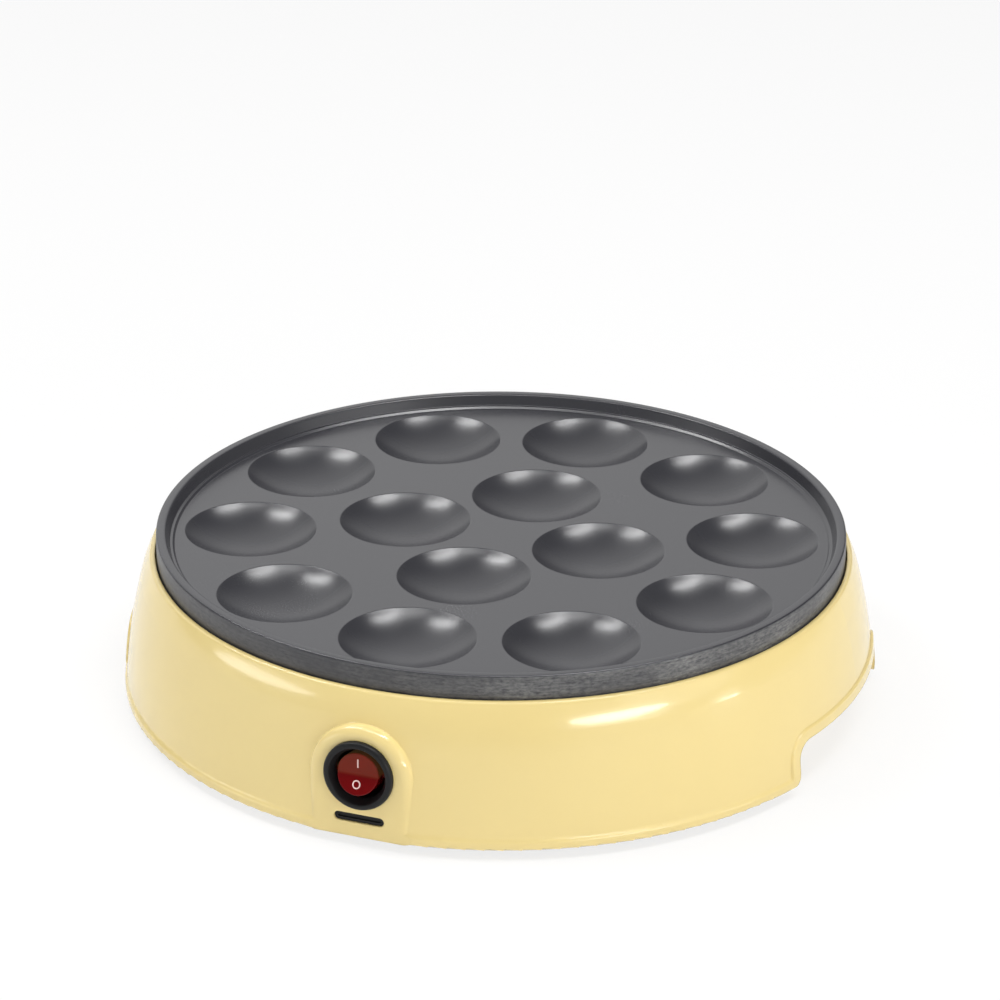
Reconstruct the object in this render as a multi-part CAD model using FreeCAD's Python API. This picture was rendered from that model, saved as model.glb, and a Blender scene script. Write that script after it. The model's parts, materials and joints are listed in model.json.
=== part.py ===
import FreeCAD, Part
import math
import os

# A poffertjes maker in millimetres. Z points up and the feet stand on z = 0.
# The switch faces -Y, the finger grips lie on +X and -X, and the cord gland is at +Y.

# Levels
foot_proud = 3.2  # rubber below the housing's edge
housing_height = 47.0
plate_proud = 8.0  # side of the plate that shows above the housing
rim_height = 4.5  # rim above the baking floor
seat_depth = 6.0  # housing mouth above the plate's seat

# Baking plate
well_radius = 22.1
well_depth = 8.5
well_wall = 3.0
well_edge = 1.0
inner_wells = 4
inner_land = 4.6  # flat between neighbouring wells of the inner ring
outer_wells = 10
ring_land = 5.3  # flat between the two rings of wells
rim_land = 8.9  # flat and rim outside the outer ring of wells
rim_width = 3.2
rim_lean = 1.3
step_width = 0.9
step_height = 0.7
floor_thickness = 4.0
skirt_thickness = 3.5

# Housing shell
mouth_clearance = 0.6
mouth_land = 1.8  # top edge of the wall, outside the mouth
wall_spread = 8.7  # how much wider the wall stands at its foot than at its head
wall_thickness = 2.3
flange_step = 0.8
flange_round = 1.6
flange_height = 3.5  # to the middle of the soft step above it
foot_lean = 4.0  # lean of the wall from upright, in degrees, at its foot, waist and head
waist_lean = 15.0
head_lean = 27.0
lip_round = 1.1
edge_round = 1.0
seat_width = 4.2
seat_thickness = 2.0
rib_thickness = 1.8
rib_height = 9.0

# Switch pad and the slot below it
pad_setback = 1.8  # pad's face at the switch, inside the flange's edge
pad_radius = 17.4
pad_wall = 2.4
pad_tilt = 1.6
pad_round = 3.0
pad_drop = 1.4  # centre of the arch below the switch
switch_z = 24.9
slot_lift = 0.3  # slot above the base cover's rim
slot_length = 16.8
slot_height = 3.0
plug_recess = 0.5  # face of the plug in the slot, behind the pad's face
plug_groove = 0.5
plug_brim = 2.2
plug_brim_thickness = 1.2

# Finger grips
grip_half_width = 43.4
grip_height = 14.6
grip_depth = 23.0
grip_wall = 2.2
grip_corner = 6.0
grip_foot_round = 3.5
grip_lip_width = 3.5
grip_lip_proud = 0.8
grip_lip_round = 0.7

# Base cover, feet and their screws
cover_inset = 0.8
cover_thickness = 2.2
cover_clearance = 0.4
cover_rim_height = 1.6
cover_rim_thickness = 1.8
foot_inset = 12.6  # feet inside the foot of the wall
foot_radius = 8.0
foot_angles = (45, 135, 225, 315)
foot_web = 0.2  # rubber between the housing's edge level and the screw head
foot_screw_bite = 11.8
post_radius = 4.5
vent_width = 3.0
vent_radius = 38.0
vent_pitch = 8.0
vent_rows = 3
vent_angles = (0, 90, 180, 270)
vent_sweep = 50.0
cover_ring_gap = 6.0  # ring rib in front of the terminal block
cover_ring_width = 1.8
cover_ring_height = 1.5

# Screws
screw_radius = 1.95
screw_clearance = 0.1
fit_clearance = 0.1
screw_head_radius = 3.8
screw_head_height = 2.4
foot_head_height = 2.0
flat_head_height = 1.0

# Heating element and what holds it
element_radius = 3.25
element_drop = 4.8  # element axis below the plate's underside
element_gap_angle = 20.0
element_bend = 9.0
cold_end_length = 7.5
groove_clearance = 0.1
rib_side = 1.65  # beside the element's groove
pin_radius = 1.2
pin_length = 12.0
bead_step = 0.65
bead_length = 4.0
mount_angles = (36, 144, 216, 324)
strap_arm = 12.7  # from the element to the strap's screw
strap_end = 5.0
strap_thickness = 1.2
strap_width = 9.0
strap_overhang = 4.8
boss_wall = 2.15
clamp_boss_wall = 2.95
clamp_inset = 15.0  # clamp screws inside the plate's edge
clamp_width = 12.0
clamp_end = 5.5
clamp_tip_clearance = 0.1

# Heat shield
shield_drop = 5.5  # spacer length
shield_thickness = 0.8
shield_inset = 8.0  # shield's edge inside the clamp screws
shield_inner = 24.0
shield_lip = 4.0
port_clearance = 2.6

# Thermostat
thermostat_radius = 7.8
thermostat_cup = 2.6
cup_step = 0.9
thermostat_body = 7.0
thermostat_boss_drop = 4.5
ear_radius = 3.2
ear_gap = 0.9
ear_angles = (45, 225)
thermostat_tab_width = 4.8
thermostat_tab_length = 8.0
thermostat_tab_pitch = 7.0
ring_thickness = 0.8
small_screw_radius = 1.45
small_head_radius = 2.6
small_head_height = 1.8

# Thermal fuse below the shield
fuse_x = -50.0
fuse_radius = 2.2
fuse_length = 11.0
fuse_wire = 0.5
fuse_span = 34.0
sleeve_wall = 0.6
sleeve_drop = 0.3  # sleeve below the shield
sleeve_length = 26.0
clip_width = 6.0
clip_thickness = 0.6
clip_wing = 4.5

# Terminal block
block_inset = 38.9  # terminal block in front of the rear wall's gland seat
block_end = 7.0
block_width = 16.0
block_height = 14.0
insert_pitch = 11.0
insert_radius = 2.6
insert_wall = 0.9
terminal_screw_length = 12.0

# Cord gland
gland_z = 22.0
gland_setback = 1.0  # gland seat's face, inside the flange's edge
gland_seat_extra = 1.0
gland_seat_land = 1.5
gland_neck = 5.2
gland_brim = 2.3
gland_clearance = 0.3
gland_bore = 3.4
gland_proud = 2.1

# Rocker switch, measured from the pad's face along the switch axis (out) and from that axis (radius)
rocker_radius = 6.9
rocker_clearance = 1.4
funnel_width = 1.4
funnel_depth = 0.8
barrel_wall = 1.6
barrel_floor = 2.0
barrel_clearance = 0.2
bezel_brim = 1.7
bezel_proud = 2.0
rocker_throw = 21.0
rocker_pivot = 3.6  # depth of the pivot behind the pad's face
rocker_face = 4.6  # from the pivot to the valley of the rocker's face
rocker_skirt = 5.0
rocker_wall = 1.3
trunnion_radius = 1.3
trunnion_bite = 0.7  # trunnion inside the barrel's wall
trunnion_clearance = 0.05
stem_radius = 2.2
plunger_radius = 1.3
plunger_tip = 8.5  # from the rocker's pivot
lamp_radius = 1.45
lamp_length = 5.5
blade_throw = 16.0
blade_thickness = 0.6
blade_half_length = 6.2
contact_gap = 0.1
blade_width = 4.0
blade_room = 2.65  # from the blade's pivot to the barrel's floor
plunger_gap = 0.3
fulcrum_radius = 0.8
fulcrum_clearance = 0.05
tab_pitch = 5.2
tab_width = 4.8
tab_thickness = 0.8
tab_length = 8.5
tab_clearance = 0.1

# Earth tag
earth_angle = 72
earth_boss_drop = 5.5
tag_thickness = 0.8
tag_width = 8.4
tag_length = 9.4
tag_blade_width = 6.3
tag_blade_drop = 8.8
tag_tail = 4.8  # from the screw to the blade
earth_screw_length = 6.5

# Leads
lead_radius = 1.2
lead_gap = 0.3

# Levels and radii that follow from the sizes above
base_z = foot_proud
housing_top = base_z + housing_height
rim_top = housing_top + plate_proud
floor_z = rim_top - rim_height
under_z = floor_z - floor_thickness
seat_z = housing_top - seat_depth
seat_under = seat_z - seat_thickness
inner_ring = (well_radius + inner_land / 2) / math.sin(math.pi / inner_wells)
outer_ring = inner_ring + 2 * well_radius + ring_land
plate_radius = outer_ring + well_radius + rim_land
mouth_radius = plate_radius + mouth_clearance
wall_head_radius = mouth_radius + mouth_land
wall_foot_radius = wall_head_radius + wall_spread
flange_radius = wall_foot_radius + flange_step
pad_front = flange_radius - pad_setback  # from the axis to the pad's face at the switch
foot_ring = wall_foot_radius - foot_inset
screw_hole = screw_radius + screw_clearance
small_hole = small_screw_radius + screw_clearance
boss_radius = screw_hole + boss_wall
clamp_boss_radius = screw_hole + clamp_boss_wall
clamp_ring = plate_radius - clamp_inset
shield_outer = clamp_ring - shield_inset
element_ring = (inner_ring + outer_ring) / 2
strap_ring = element_ring + strap_arm
rib_half = element_radius + groove_clearance + rib_side
bead_radius = element_radius + bead_step
shield_port = bead_radius + port_clearance
thermostat_body_radius = thermostat_radius - cup_step
ear_ring = thermostat_radius + ear_gap + ear_radius
sleeve_radius = fuse_radius + fit_clearance + sleeve_wall
gland_flange = gland_neck + gland_brim
gland_seat_radius = gland_flange + gland_seat_land
gland_outer_y = flange_radius - gland_setback
gland_inner_y = gland_outer_y - wall_thickness - gland_seat_extra
block_y = gland_outer_y - block_inset
block_length = 2 * (insert_pitch + block_end)
block_front = block_y - block_width / 2
bore_radius = rocker_radius + rocker_clearance
barrel_radius = bore_radius + barrel_wall
bezel_crown = bore_radius + funnel_width
bezel_radius = barrel_radius + bezel_brim
blade_under = fulcrum_radius + fulcrum_clearance  # from the blade's pivot to its underside
blade_pivot = rocker_pivot + plunger_tip + plunger_gap + blade_thickness + blade_under
barrel_depth = blade_pivot + blade_room + barrel_floor
cover_z = base_z + cover_inset
cover_top = cover_z + cover_thickness
slot_z = cover_top + cover_rim_height + slot_lift + slot_height / 2
flange_top = base_z + flange_height
flange_blend = math.sqrt(4 * flange_round * flange_step - flange_step ** 2)  # height of the soft step
wall_foot_z = flange_top + flange_blend / 2
grip_top = base_z + grip_height
well_sphere = (well_radius ** 2 + well_depth ** 2) / (2 * well_depth)
well_centre_z = floor_z - well_depth + well_sphere
element_z = under_z - element_drop
strap_top = element_z - element_radius
strap_under = strap_top - strap_thickness
shield_top = strap_under - shield_drop
shield_under = shield_top - shield_thickness
fuse_z = shield_under - sleeve_radius - sleeve_drop
clamp_under = seat_under - strap_thickness
thermostat_top = under_z - thermostat_boss_drop
cup_under = thermostat_top - thermostat_cup
thermostat_under = cup_under - thermostat_body
earth_boss_under = under_z - earth_boss_drop
zero = FreeCAD.Vector(0, 0, 0)
up = FreeCAD.Vector(0, 0, 1)
across = FreeCAD.Vector(1, 0, 0)
along = FreeCAD.Vector(0, 1, 0)


def polar(radius, angle, z=0.0):
    turn = math.radians(angle)
    return FreeCAD.Vector(radius * math.cos(turn), radius * math.sin(turn), z)


def in_section(radius, z):
    return FreeCAD.Vector(radius, 0, z)


def in_plan(x, y):
    return FreeCAD.Vector(x, y, 0)


def in_front(x, z):
    return FreeCAD.Vector(x, 0, z)


def in_side(y, z):
    return FreeCAD.Vector(0, y, z)


# A closed wire through corners (a, b) or (a, b, radius); a corner with a radius is rounded.
def rounded_wire(corners, place):
    spans = []
    count = len(corners)
    for i, corner in enumerate(corners):
        here = FreeCAD.Vector(corner[0], corner[1], 0)
        if len(corner) == 2:
            spans.append((here, None, here))
            continue
        before = corners[i - 1]
        after = corners[(i + 1) % count]
        back = FreeCAD.Vector(before[0], before[1], 0) - here
        on = FreeCAD.Vector(after[0], after[1], 0) - here
        back.normalize()
        on.normalize()
        half = back.getAngle(on) / 2
        reach = corner[2] / math.tan(half)
        inward = back + on
        inward.normalize()
        middle = here + inward * (corner[2] / math.sin(half) - corner[2])
        spans.append((here + back * reach, middle, here + on * reach))
    edges = []
    for i, (start, middle, end) in enumerate(spans):
        if middle:
            arc = Part.Arc(place(start.x, start.y), place(middle.x, middle.y), place(end.x, end.y))
            edges.append(arc.toShape())
        following = spans[(i + 1) % count][0]
        if (following - end).Length > 1e-6:
            edges.append(Part.LineSegment(place(end.x, end.y), place(following.x, following.y)).toShape())
    return Part.Wire(edges)


# A closed wire whose steps are points, reached by a line, or pairs (middle, end), reached by an arc.
def stepped_wire(start, steps, place):
    edges = []
    at = start
    for step in list(steps) + [start]:
        if isinstance(step[0], tuple):
            middle, end = step
            edges.append(Part.Arc(place(*at), place(*middle), place(*end)).toShape())
        else:
            end = step
            if math.dist(at, end) > 1e-6:
                edges.append(Part.LineSegment(place(*at), place(*end)).toShape())
        at = end
    return Part.Wire(edges)


def turned(corners):
    return Part.Face(rounded_wire(corners, in_section)).revolve(zero, up, 360)


def extruded(wire, direction):
    return Part.Face(wire).extrude(direction)


def column(radius, low, high, at=zero):
    return Part.makeCylinder(radius, high - low, FreeCAD.Vector(at.x, at.y, low))


def fused(shapes):
    return shapes[0].fuse(shapes[1:]).removeSplitter()


def less(shape, tools):
    return shape.cut(tools).removeSplitter()


def turned_to(shape, angle):
    copy = shape.copy()
    copy.rotate(zero, up, angle)
    return copy


def round_the_axis(shape, angles):
    return [turned_to(shape, angle) for angle in angles]


def save(name, shapes):
    shape = shapes[0] if len(shapes) == 1 else Part.makeCompound(shapes)
    shape.exportStep("parts/" + name + ".step")
    print(name, len(shape.Solids), round(shape.Volume / 1000, 3), "cm3", shape.isValid())


# The housing's wall leans in along two arcs that meet at the waist; this gives their radii and centres.
def wall_arcs():
    foot, waist, head = (math.radians(a) for a in (foot_lean, waist_lean, head_lean))
    rise = housing_top - lip_round * (1 - math.sin(head)) - wall_foot_z
    run = wall_foot_radius - wall_head_radius
    a, b = math.sin(waist) - math.sin(foot), math.sin(head) - math.sin(waist)
    c, d = math.cos(foot) - math.cos(waist), math.cos(waist) - math.cos(head)
    lower = (rise * d - b * run) / (a * d - b * c)
    upper = (a * run - c * rise) / (a * d - b * c)
    lower_centre = (wall_foot_radius - lower * math.cos(foot), wall_foot_z - lower * math.sin(foot))
    waist_point = (lower_centre[0] + lower * math.cos(waist), lower_centre[1] + lower * math.sin(waist))
    upper_centre = (waist_point[0] - upper * math.cos(waist), waist_point[1] - upper * math.sin(waist))
    return lower, lower_centre, upper, upper_centre


def wall_point(lean, inset):
    lower, lower_centre, upper, upper_centre = wall_arcs()
    radius, centre = (lower, lower_centre) if lean <= waist_lean else (upper, upper_centre)
    turn = math.radians(lean)
    return (centre[0] + (radius - inset) * math.cos(turn), centre[1] + (radius - inset) * math.sin(turn))


def wall_steps(inset):
    low = wall_point((foot_lean + waist_lean) / 2, inset)
    waist = wall_point(waist_lean, inset)
    high = wall_point((waist_lean + head_lean) / 2, inset)
    return [(low, waist), (high, wall_point(head_lean, inset))]


def wall_radius_at(z):
    lower, lower_centre, upper, upper_centre = wall_arcs()
    radius, centre = (lower, lower_centre) if z <= wall_point(waist_lean, 0)[1] else (upper, upper_centre)
    return centre[0] + math.sqrt(radius ** 2 - (z - centre[1]) ** 2)


def lip_point(lean):
    head = wall_point(head_lean, lip_round)
    turn = math.radians(lean)
    return (head[0] + lip_round * math.cos(turn), head[1] + lip_round * math.sin(turn))


# Everything inside the housing's outer skin, as one solid of revolution.
def housing_envelope():
    low = flange_top - flange_blend / 2
    half_way = (flange_radius - flange_step / 2, flange_top)
    turn = math.acos(1 - flange_step / (2 * flange_round)) / 2
    lift, shift = flange_round * math.sin(turn), flange_round * (1 - math.cos(turn))
    convex = ((flange_radius - shift, low + lift), half_way)
    concave = ((wall_foot_radius + shift, wall_foot_z - lift), wall_point(foot_lean, 0))
    corner = edge_round * (1 - math.sqrt(0.5))
    foot = ((flange_radius - corner, base_z + corner), (flange_radius, base_z + edge_round))
    lip = (lip_point((head_lean + 90) / 2), lip_point(90))
    steps = [(flange_radius - edge_round, base_z), foot, (flange_radius, low), convex, concave]
    steps += wall_steps(0) + [lip, (0, housing_top)]
    return Part.Face(stepped_wire((0, base_z), steps, in_section)).revolve(zero, up, 360)


# What lies further inside the wall's outer face than the inset.
def wall_core(inset, low):
    foot = wall_point(foot_lean, inset)
    steps = [(foot[0], low), foot] + wall_steps(inset)
    steps.append((0, wall_point(head_lean, inset)[1]))
    return Part.Face(stepped_wire((0, low), steps, in_section)).revolve(zero, up, 360)


def housing_void():
    return fused([wall_core(wall_thickness, base_z - 1), column(mouth_radius, seat_z, housing_top + 1)])


def grip_outline(grow, foot_round):
    side = grip_half_width + grow
    top = grip_top + grow
    far = side + 12
    low = base_z - 5
    foot = [(side, base_z, foot_round), (far, base_z), (far, low)] if foot_round else [(side, low)]
    mirrored = [(-corner[0],) + corner[1:] for corner in reversed(foot)]
    top_corners = [(-side, top, grip_corner + grow), (side, top, grip_corner + grow)]
    return rounded_wire(top_corners + foot + mirrored, in_side)


# The prisms that cut and wall a finger grip, on the +X side.
def grip_prism(grow, foot_round, inner_x):
    prism = extruded(grip_outline(grow, foot_round), across * (flange_radius + 10 - inner_x))
    prism.translate(FreeCAD.Vector(inner_x, 0, 0))
    return prism


def grip_lip():
    ring_low, ring_high = flange_top - 1, grip_top + grip_lip_width + 2
    outer = wall_point(foot_lean, -grip_lip_proud)
    steps = [(outer[0], ring_low), outer] + wall_steps(-grip_lip_proud) + [(0, housing_top)]
    swollen = Part.Face(stepped_wire((0, ring_low), steps, in_section)).revolve(zero, up, 360)
    band = swollen.common(grip_prism(grip_lip_width, 0, flange_radius / 2))
    band = band.common(column(flange_radius + 5, ring_low, ring_high))
    return band.makeFillet(grip_lip_round, [edge for edge in band.Edges if is_lip_edge(edge)])


# The edges where the raised band's outer face ends, from its foot up and over the grip.
def is_lip_edge(edge):
    middle = edge.valueAt((edge.FirstParameter + edge.LastParameter) / 2)
    if math.hypot(middle.x, middle.y) < wall_radius_at(max(middle.z, wall_foot_z)) + grip_lip_proud / 2:
        return False
    return middle.z > flange_top - 0.5


def pad_outline(radius):
    legs_to = base_z - 6
    centre = switch_z - pad_drop
    arch = ((0, centre + radius), (radius, centre))
    return stepped_wire((-radius, legs_to), [(-radius, centre), arch, (radius, legs_to)], in_front)


# Things on the switch's own axis are drawn upright at the pad's face, then tilted with the pad.
def tilted(shape):
    copy = shape.copy()
    copy.rotate(FreeCAD.Vector(0, -pad_front, switch_z), across, -pad_tilt)
    return copy


def pad_prism(radius, front, back):
    prism = extruded(pad_outline(radius), along * (front - back))
    prism.translate(along * -front)
    return prism


def switch_pad():
    pad = pad_prism(pad_radius, pad_front, pad_front - 14)
    centres = [(edge, edge.CenterOfMass) for edge in pad.Edges]
    front = [edge for edge, at in centres if at.y < -pad_front + 1e-4 and at.z > base_z - 5]
    return tilted(pad.makeFillet(pad_round, front))


def along_switch(radius, out_low, out_high):
    start = FreeCAD.Vector(0, -pad_front - out_low, switch_z)
    return Part.makeCylinder(radius, out_high - out_low, start, along * -1)


# A bar with round ends across the slot's place, between two depths behind the pad's face.
def slot_bar(length, height, front, back):
    straight = (length - height) / 2
    half = height / 2
    wire = stepped_wire(
        (-straight, slot_z - half),
        [
            (straight, slot_z - half),
            ((straight + half, slot_z), (straight, slot_z + half)),
            (-straight, slot_z + half),
            ((-straight - half, slot_z), (-straight, slot_z - half)),
        ],
        in_front,
    )
    bar = extruded(wire, along * (back - front))
    bar.translate(along * (front - pad_front))
    return tilted(bar)


# The dark plug that fills the slot and stops against the back of the pad's wall with a brim.
def make_slot_plug():
    length, height = slot_length - 2 * fit_clearance, slot_height - 2 * fit_clearance
    plug = slot_bar(length, height, plug_recess, pad_wall)
    brim = slot_bar(length + 2 * plug_brim, height, pad_wall, pad_wall + plug_brim_thickness)
    groove = slot_bar(length - 2, height / 3, plug_recess - 1, plug_recess + plug_groove)
    return less(plug.fuse([brim]), [groove])


def seat_rib(angle):
    root = wall_radius_at(seat_under - rib_height) - 1
    tip = mouth_radius - seat_width + 0.8
    top, low = seat_under + 0.5, seat_under - rib_height
    corners = [(tip, top), (root + 1, top), (root, low), (root - 1, low)]
    rib = extruded(rounded_wire(corners, in_section), along * rib_thickness)
    rib.translate(along * (-rib_thickness / 2))
    return turned_to(rib, angle)


def foot_post(angle):
    at = polar(foot_ring, angle)
    post = column(post_radius, cover_top, seat_under + 0.5, at)
    corner = FreeCAD.Vector(foot_ring + 1, -rib_thickness / 2, flange_top + 3)
    web = Part.makeBox(foot_inset, rib_thickness, seat_under - corner.z, corner)
    return [post, turned_to(web, angle)]


def make_housing():
    envelope = housing_envelope()
    pad = switch_pad().common(column(flange_radius + 5, base_z, housing_top))
    skin = envelope.fuse([pad])
    proud_of_pad = tilted(pad_prism(pad_radius, pad_front + 6, pad_front))
    skin = skin.cut(proud_of_pad)
    lips = [turned_to(grip_lip(), angle) for angle in (0, 180)]
    skin = skin.fuse(lips)

    behind_pad = tilted(pad_prism(pad_radius - pad_wall, pad_front - pad_wall, pad_front - 16))
    shell = skin.cut([housing_void(), behind_pad])
    inner_x = flange_radius - grip_depth - grip_wall
    pocket = grip_prism(grip_wall, 0, inner_x).common(column(flange_radius, base_z, grip_top + grip_wall))
    pockets = [turned_to(pocket, angle) for angle in (0, 180)]
    seat_outer = wall_radius_at(seat_z) - wall_thickness / 2
    seat_bore = column(plate_radius - seat_width, seat_under - 1, seat_z + 1)
    seat = column(seat_outer, seat_under, seat_z).cut(seat_bore)
    ribs = [seat_rib(angle) for angle in (15, 75, 105, 165, 195, 345, 252, 288)]
    posts = [piece for angle in foot_angles for piece in foot_post(angle)]
    core = wall_core(wall_thickness / 2, base_z)
    inside = [piece.common(core) for piece in pockets + [seat] + ribs + posts]
    gland_seat = gland_cylinder(gland_seat_radius, gland_inner_y, gland_outer_y)
    shell = fused([shell, gland_seat] + inside)

    grips = [turned_to(grip_prism(0, grip_foot_round, inner_x + grip_wall), angle) for angle in (0, 180)]
    hole = tilted(along_switch(barrel_radius + barrel_clearance, -20, 10))
    gland_hole = gland_cylinder(gland_neck + fit_clearance, gland_inner_y - 12, gland_outer_y + 5)
    gland_back = gland_cylinder(gland_flange + gland_clearance, gland_inner_y - 12, gland_inner_y)
    bore = column(screw_hole, cover_top - 1, cover_top + 14, polar(foot_ring, 0))
    above_mouth = column(mouth_radius, seat_z, housing_top + 1)
    slot = slot_bar(slot_length, slot_height, -8, 8)
    cuts = grips + [hole, slot, gland_hole, gland_back, above_mouth]
    return less(shell, cuts + round_the_axis(bore, foot_angles))


def gland_cylinder(radius, low, high):
    return Part.makeCylinder(radius, high - low, FreeCAD.Vector(0, low, gland_z), along)


def make_gland():
    seat = gland_outer_y - gland_inner_y
    corners = [
        (gland_bore, -2.0),
        (gland_flange - 0.6, -2.0),
        (gland_flange - 0.6, 0),
        (gland_neck, 0),
        (gland_neck, seat),
        (gland_flange, seat),
        (gland_flange, seat + gland_proud, 1.2),
        (gland_bore, seat + gland_proud),
    ]
    bush = turned(corners)
    bush.rotate(zero, across, -90)
    bush.translate(FreeCAD.Vector(0, gland_inner_y, gland_z))
    return bush


def well_places():
    outer = [polar(outer_ring, -90 + 360 * i / outer_wells) for i in range(outer_wells)]
    inner = [polar(inner_ring, -90 + 360 * i / inner_wells) for i in range(inner_wells)]
    return outer + inner


def well_ball(grow, at, top):
    ball = Part.makeSphere(well_sphere + grow, FreeCAD.Vector(at.x, at.y, well_centre_z))
    depth = well_depth + grow + 1
    return ball.common(column(well_radius + grow + 1, floor_z - depth, top, at))


def plate_disc():
    inner_rim = plate_radius - rim_width
    foot_of_wall = inner_rim - rim_lean
    step = foot_of_wall - step_width
    skirt = plate_radius - skirt_thickness
    return turned(
        [
            (0, floor_z),
            (step - step_height, floor_z),
            (step, floor_z + step_height),
            (foot_of_wall, floor_z + step_height),
            (inner_rim, rim_top, 0.9),
            (plate_radius, rim_top, 0.7),
            (plate_radius, seat_z),
            (skirt, seat_z),
            (skirt, under_z),
            (0, under_z),
        ]
    )


def make_baking_plate():
    places = well_places()
    domes = [well_ball(well_wall, at, floor_z - 1) for at in places]
    top = under_z + 0.5
    rib = column(element_ring + rib_half, element_z, top)
    rib = rib.cut(column(element_ring - rib_half, element_z - 1, top + 1))
    strap_boss = column(boss_radius, strap_top, top, polar(strap_ring, 0))
    clamp_boss = column(clamp_boss_radius, seat_under, top, polar(clamp_ring, 0))
    earth_boss = column(boss_radius, earth_boss_under, top, polar(clamp_ring, earth_angle))
    centre_boss = column(thermostat_radius + 0.4, thermostat_top, top)
    ear_boss = column(ear_radius, cup_under, top, polar(ear_ring, 0))
    ear_boss = ear_boss.cut(column(thermostat_radius + 0.3, 0, thermostat_top))
    bosses = round_the_axis(strap_boss, mount_angles) + round_the_axis(clamp_boss, mount_angles)
    bosses += round_the_axis(ear_boss, ear_angles) + [centre_boss, earth_boss]
    body = fused([plate_disc()] + domes + [rib] + bosses)

    bowls = [well_ball(0, at, floor_z + 5) for at in places]
    groove = Part.makeTorus(element_ring, element_radius + groove_clearance, FreeCAD.Vector(0, 0, element_z))
    deep = under_z - 1.5
    holes = round_the_axis(column(screw_hole, strap_top - 1, deep, polar(strap_ring, 0)), mount_angles)
    holes += round_the_axis(column(screw_hole, seat_under - 1, deep, polar(clamp_ring, 0)), mount_angles)
    holes += round_the_axis(column(small_hole, cup_under - 1, under_z - 1, polar(ear_ring, 0)), ear_angles)
    holes.append(column(screw_hole, earth_boss_under - 1, under_z + 1, polar(clamp_ring, earth_angle)))
    body = less(body, bowls + [groove] + holes)
    lips = [e for e in body.Edges if is_well_edge(e)]
    return body.makeFillet(well_edge, lips)


def is_well_edge(edge):
    if edge.Degenerated:
        return False
    curve = edge.Curve
    if not hasattr(curve, "Radius"):
        return False
    return abs(curve.Radius - well_radius) < 0.01 and abs(curve.Center.z - floor_z) < 0.01


def make_element():
    section = Part.Wire(Part.makeCircle(element_radius, polar(element_ring, 0, element_z), along))
    ring = Part.Face(section).revolve(zero, up, 360 - 2 * element_gap_angle)
    ring.rotate(zero, up, 90 + element_gap_angle)
    pieces = [ring]
    for side in (1, -1):
        angle = 90 - side * element_gap_angle
        at = polar(element_ring, angle, element_z)
        onward = polar(1, angle + 90 * side)
        outward = polar(1, angle)
        face = Part.Face(Part.Wire(Part.makeCircle(element_radius, at, onward)))
        bend = face.revolve(at - up * element_bend, outward, -90 * side)
        tip = at + onward * element_bend - up * element_bend
        leg = Part.makeCylinder(element_radius, cold_end_length, tip, up * -1)
        pieces += [bend, leg]
    return fused(pieces)


def cold_end(side):
    angle = 90 - side * element_gap_angle
    at = polar(element_ring, angle) + polar(element_bend, angle + 90 * side)
    return FreeCAD.Vector(at.x, at.y, element_z - element_bend - cold_end_length)


def make_bead(side):
    at = cold_end(side)
    low = at.z - bead_length
    return column(bead_radius, low, at.z, at).cut(column(pin_radius + fit_clearance, low - 1, at.z + 1, at))


def make_pin(side):
    at = cold_end(side)
    return column(pin_radius, at.z - pin_length, at.z, at)


def screw(at, under_head, shank_radius, shank_length, head_radius, head_height):
    shank = column(shank_radius, under_head, under_head + shank_length, at)
    slope = 0.3 * head_height
    rim = [(head_radius - 1.5 * slope, -head_height), (head_radius, slope - head_height), (head_radius, 0)]
    head = turned([(0, -head_height)] + rim + [(0, 0)])
    head.translate(FreeCAD.Vector(at.x, at.y, under_head))
    return fused([shank, head])


# Screws of the common size at one radius from the axis.
def ring_of_screws(ring, angles, under_head, length, head_height):
    one = screw(polar(ring, 0), under_head, screw_radius, length, screw_head_radius, head_height)
    return round_the_axis(one, angles)


def strip(inner, outer, width, low, thickness, round_ends):
    half = width / 2
    ends = [(inner, -half), (outer, -half), (outer, half), (inner, half)]
    corners = [(x, y, round_ends) for x, y in ends]
    flat = extruded(rounded_wire(corners, in_plan), up * thickness)
    flat.translate(up * low)
    return flat


def make_strap():
    inner, outer = element_ring - strap_overhang, strap_ring + strap_end
    flat = strip(inner, outer, strap_width, strap_under, strap_thickness, 1.5)
    return flat.cut(column(screw_hole, strap_under - 1, strap_top + 1, polar(strap_ring, 0)))


def make_clamp():
    inner, outer = clamp_ring - clamp_end, mouth_radius - clamp_tip_clearance
    flat = strip(inner, outer, clamp_width, clamp_under, strap_thickness, 1.5)
    return flat.cut(column(screw_hole, clamp_under - 1, seat_under + 1, polar(clamp_ring, 0)))


def make_spacer():
    at = polar(strap_ring, 0)
    bore = column(screw_hole, shield_top - 1, strap_under + 1, at)
    return column(boss_radius, shield_top, strap_under, at).cut(bore)


def make_shield():
    corners = [
        (shield_inner, shield_under),
        (shield_outer, shield_under),
        (shield_outer, shield_top + shield_lip),
        (shield_outer - shield_thickness, shield_top + shield_lip),
        (shield_outer - shield_thickness, shield_top),
        (shield_inner, shield_top),
    ]
    ports = [column(shield_port, shield_under - 1, shield_top + 1, cold_end(side)) for side in (1, -1)]
    holes = [column(screw_hole, shield_under - 1, shield_top + 1, polar(strap_ring, a)) for a in mount_angles]
    return less(turned(corners), ports + holes)


def make_thermostat():
    cup = column(thermostat_radius, cup_under, thermostat_top)
    body = column(thermostat_body_radius, thermostat_under, cup_under)
    tabs = []
    for side in (-1, 1):
        x = side * thermostat_tab_pitch / 2 - tab_thickness / 2
        corner = FreeCAD.Vector(x, -thermostat_tab_width / 2, thermostat_under - thermostat_tab_length)
        tabs.append(Part.makeBox(tab_thickness, thermostat_tab_width, thermostat_tab_length, corner))
    return fused([cup, body] + tabs)


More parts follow.
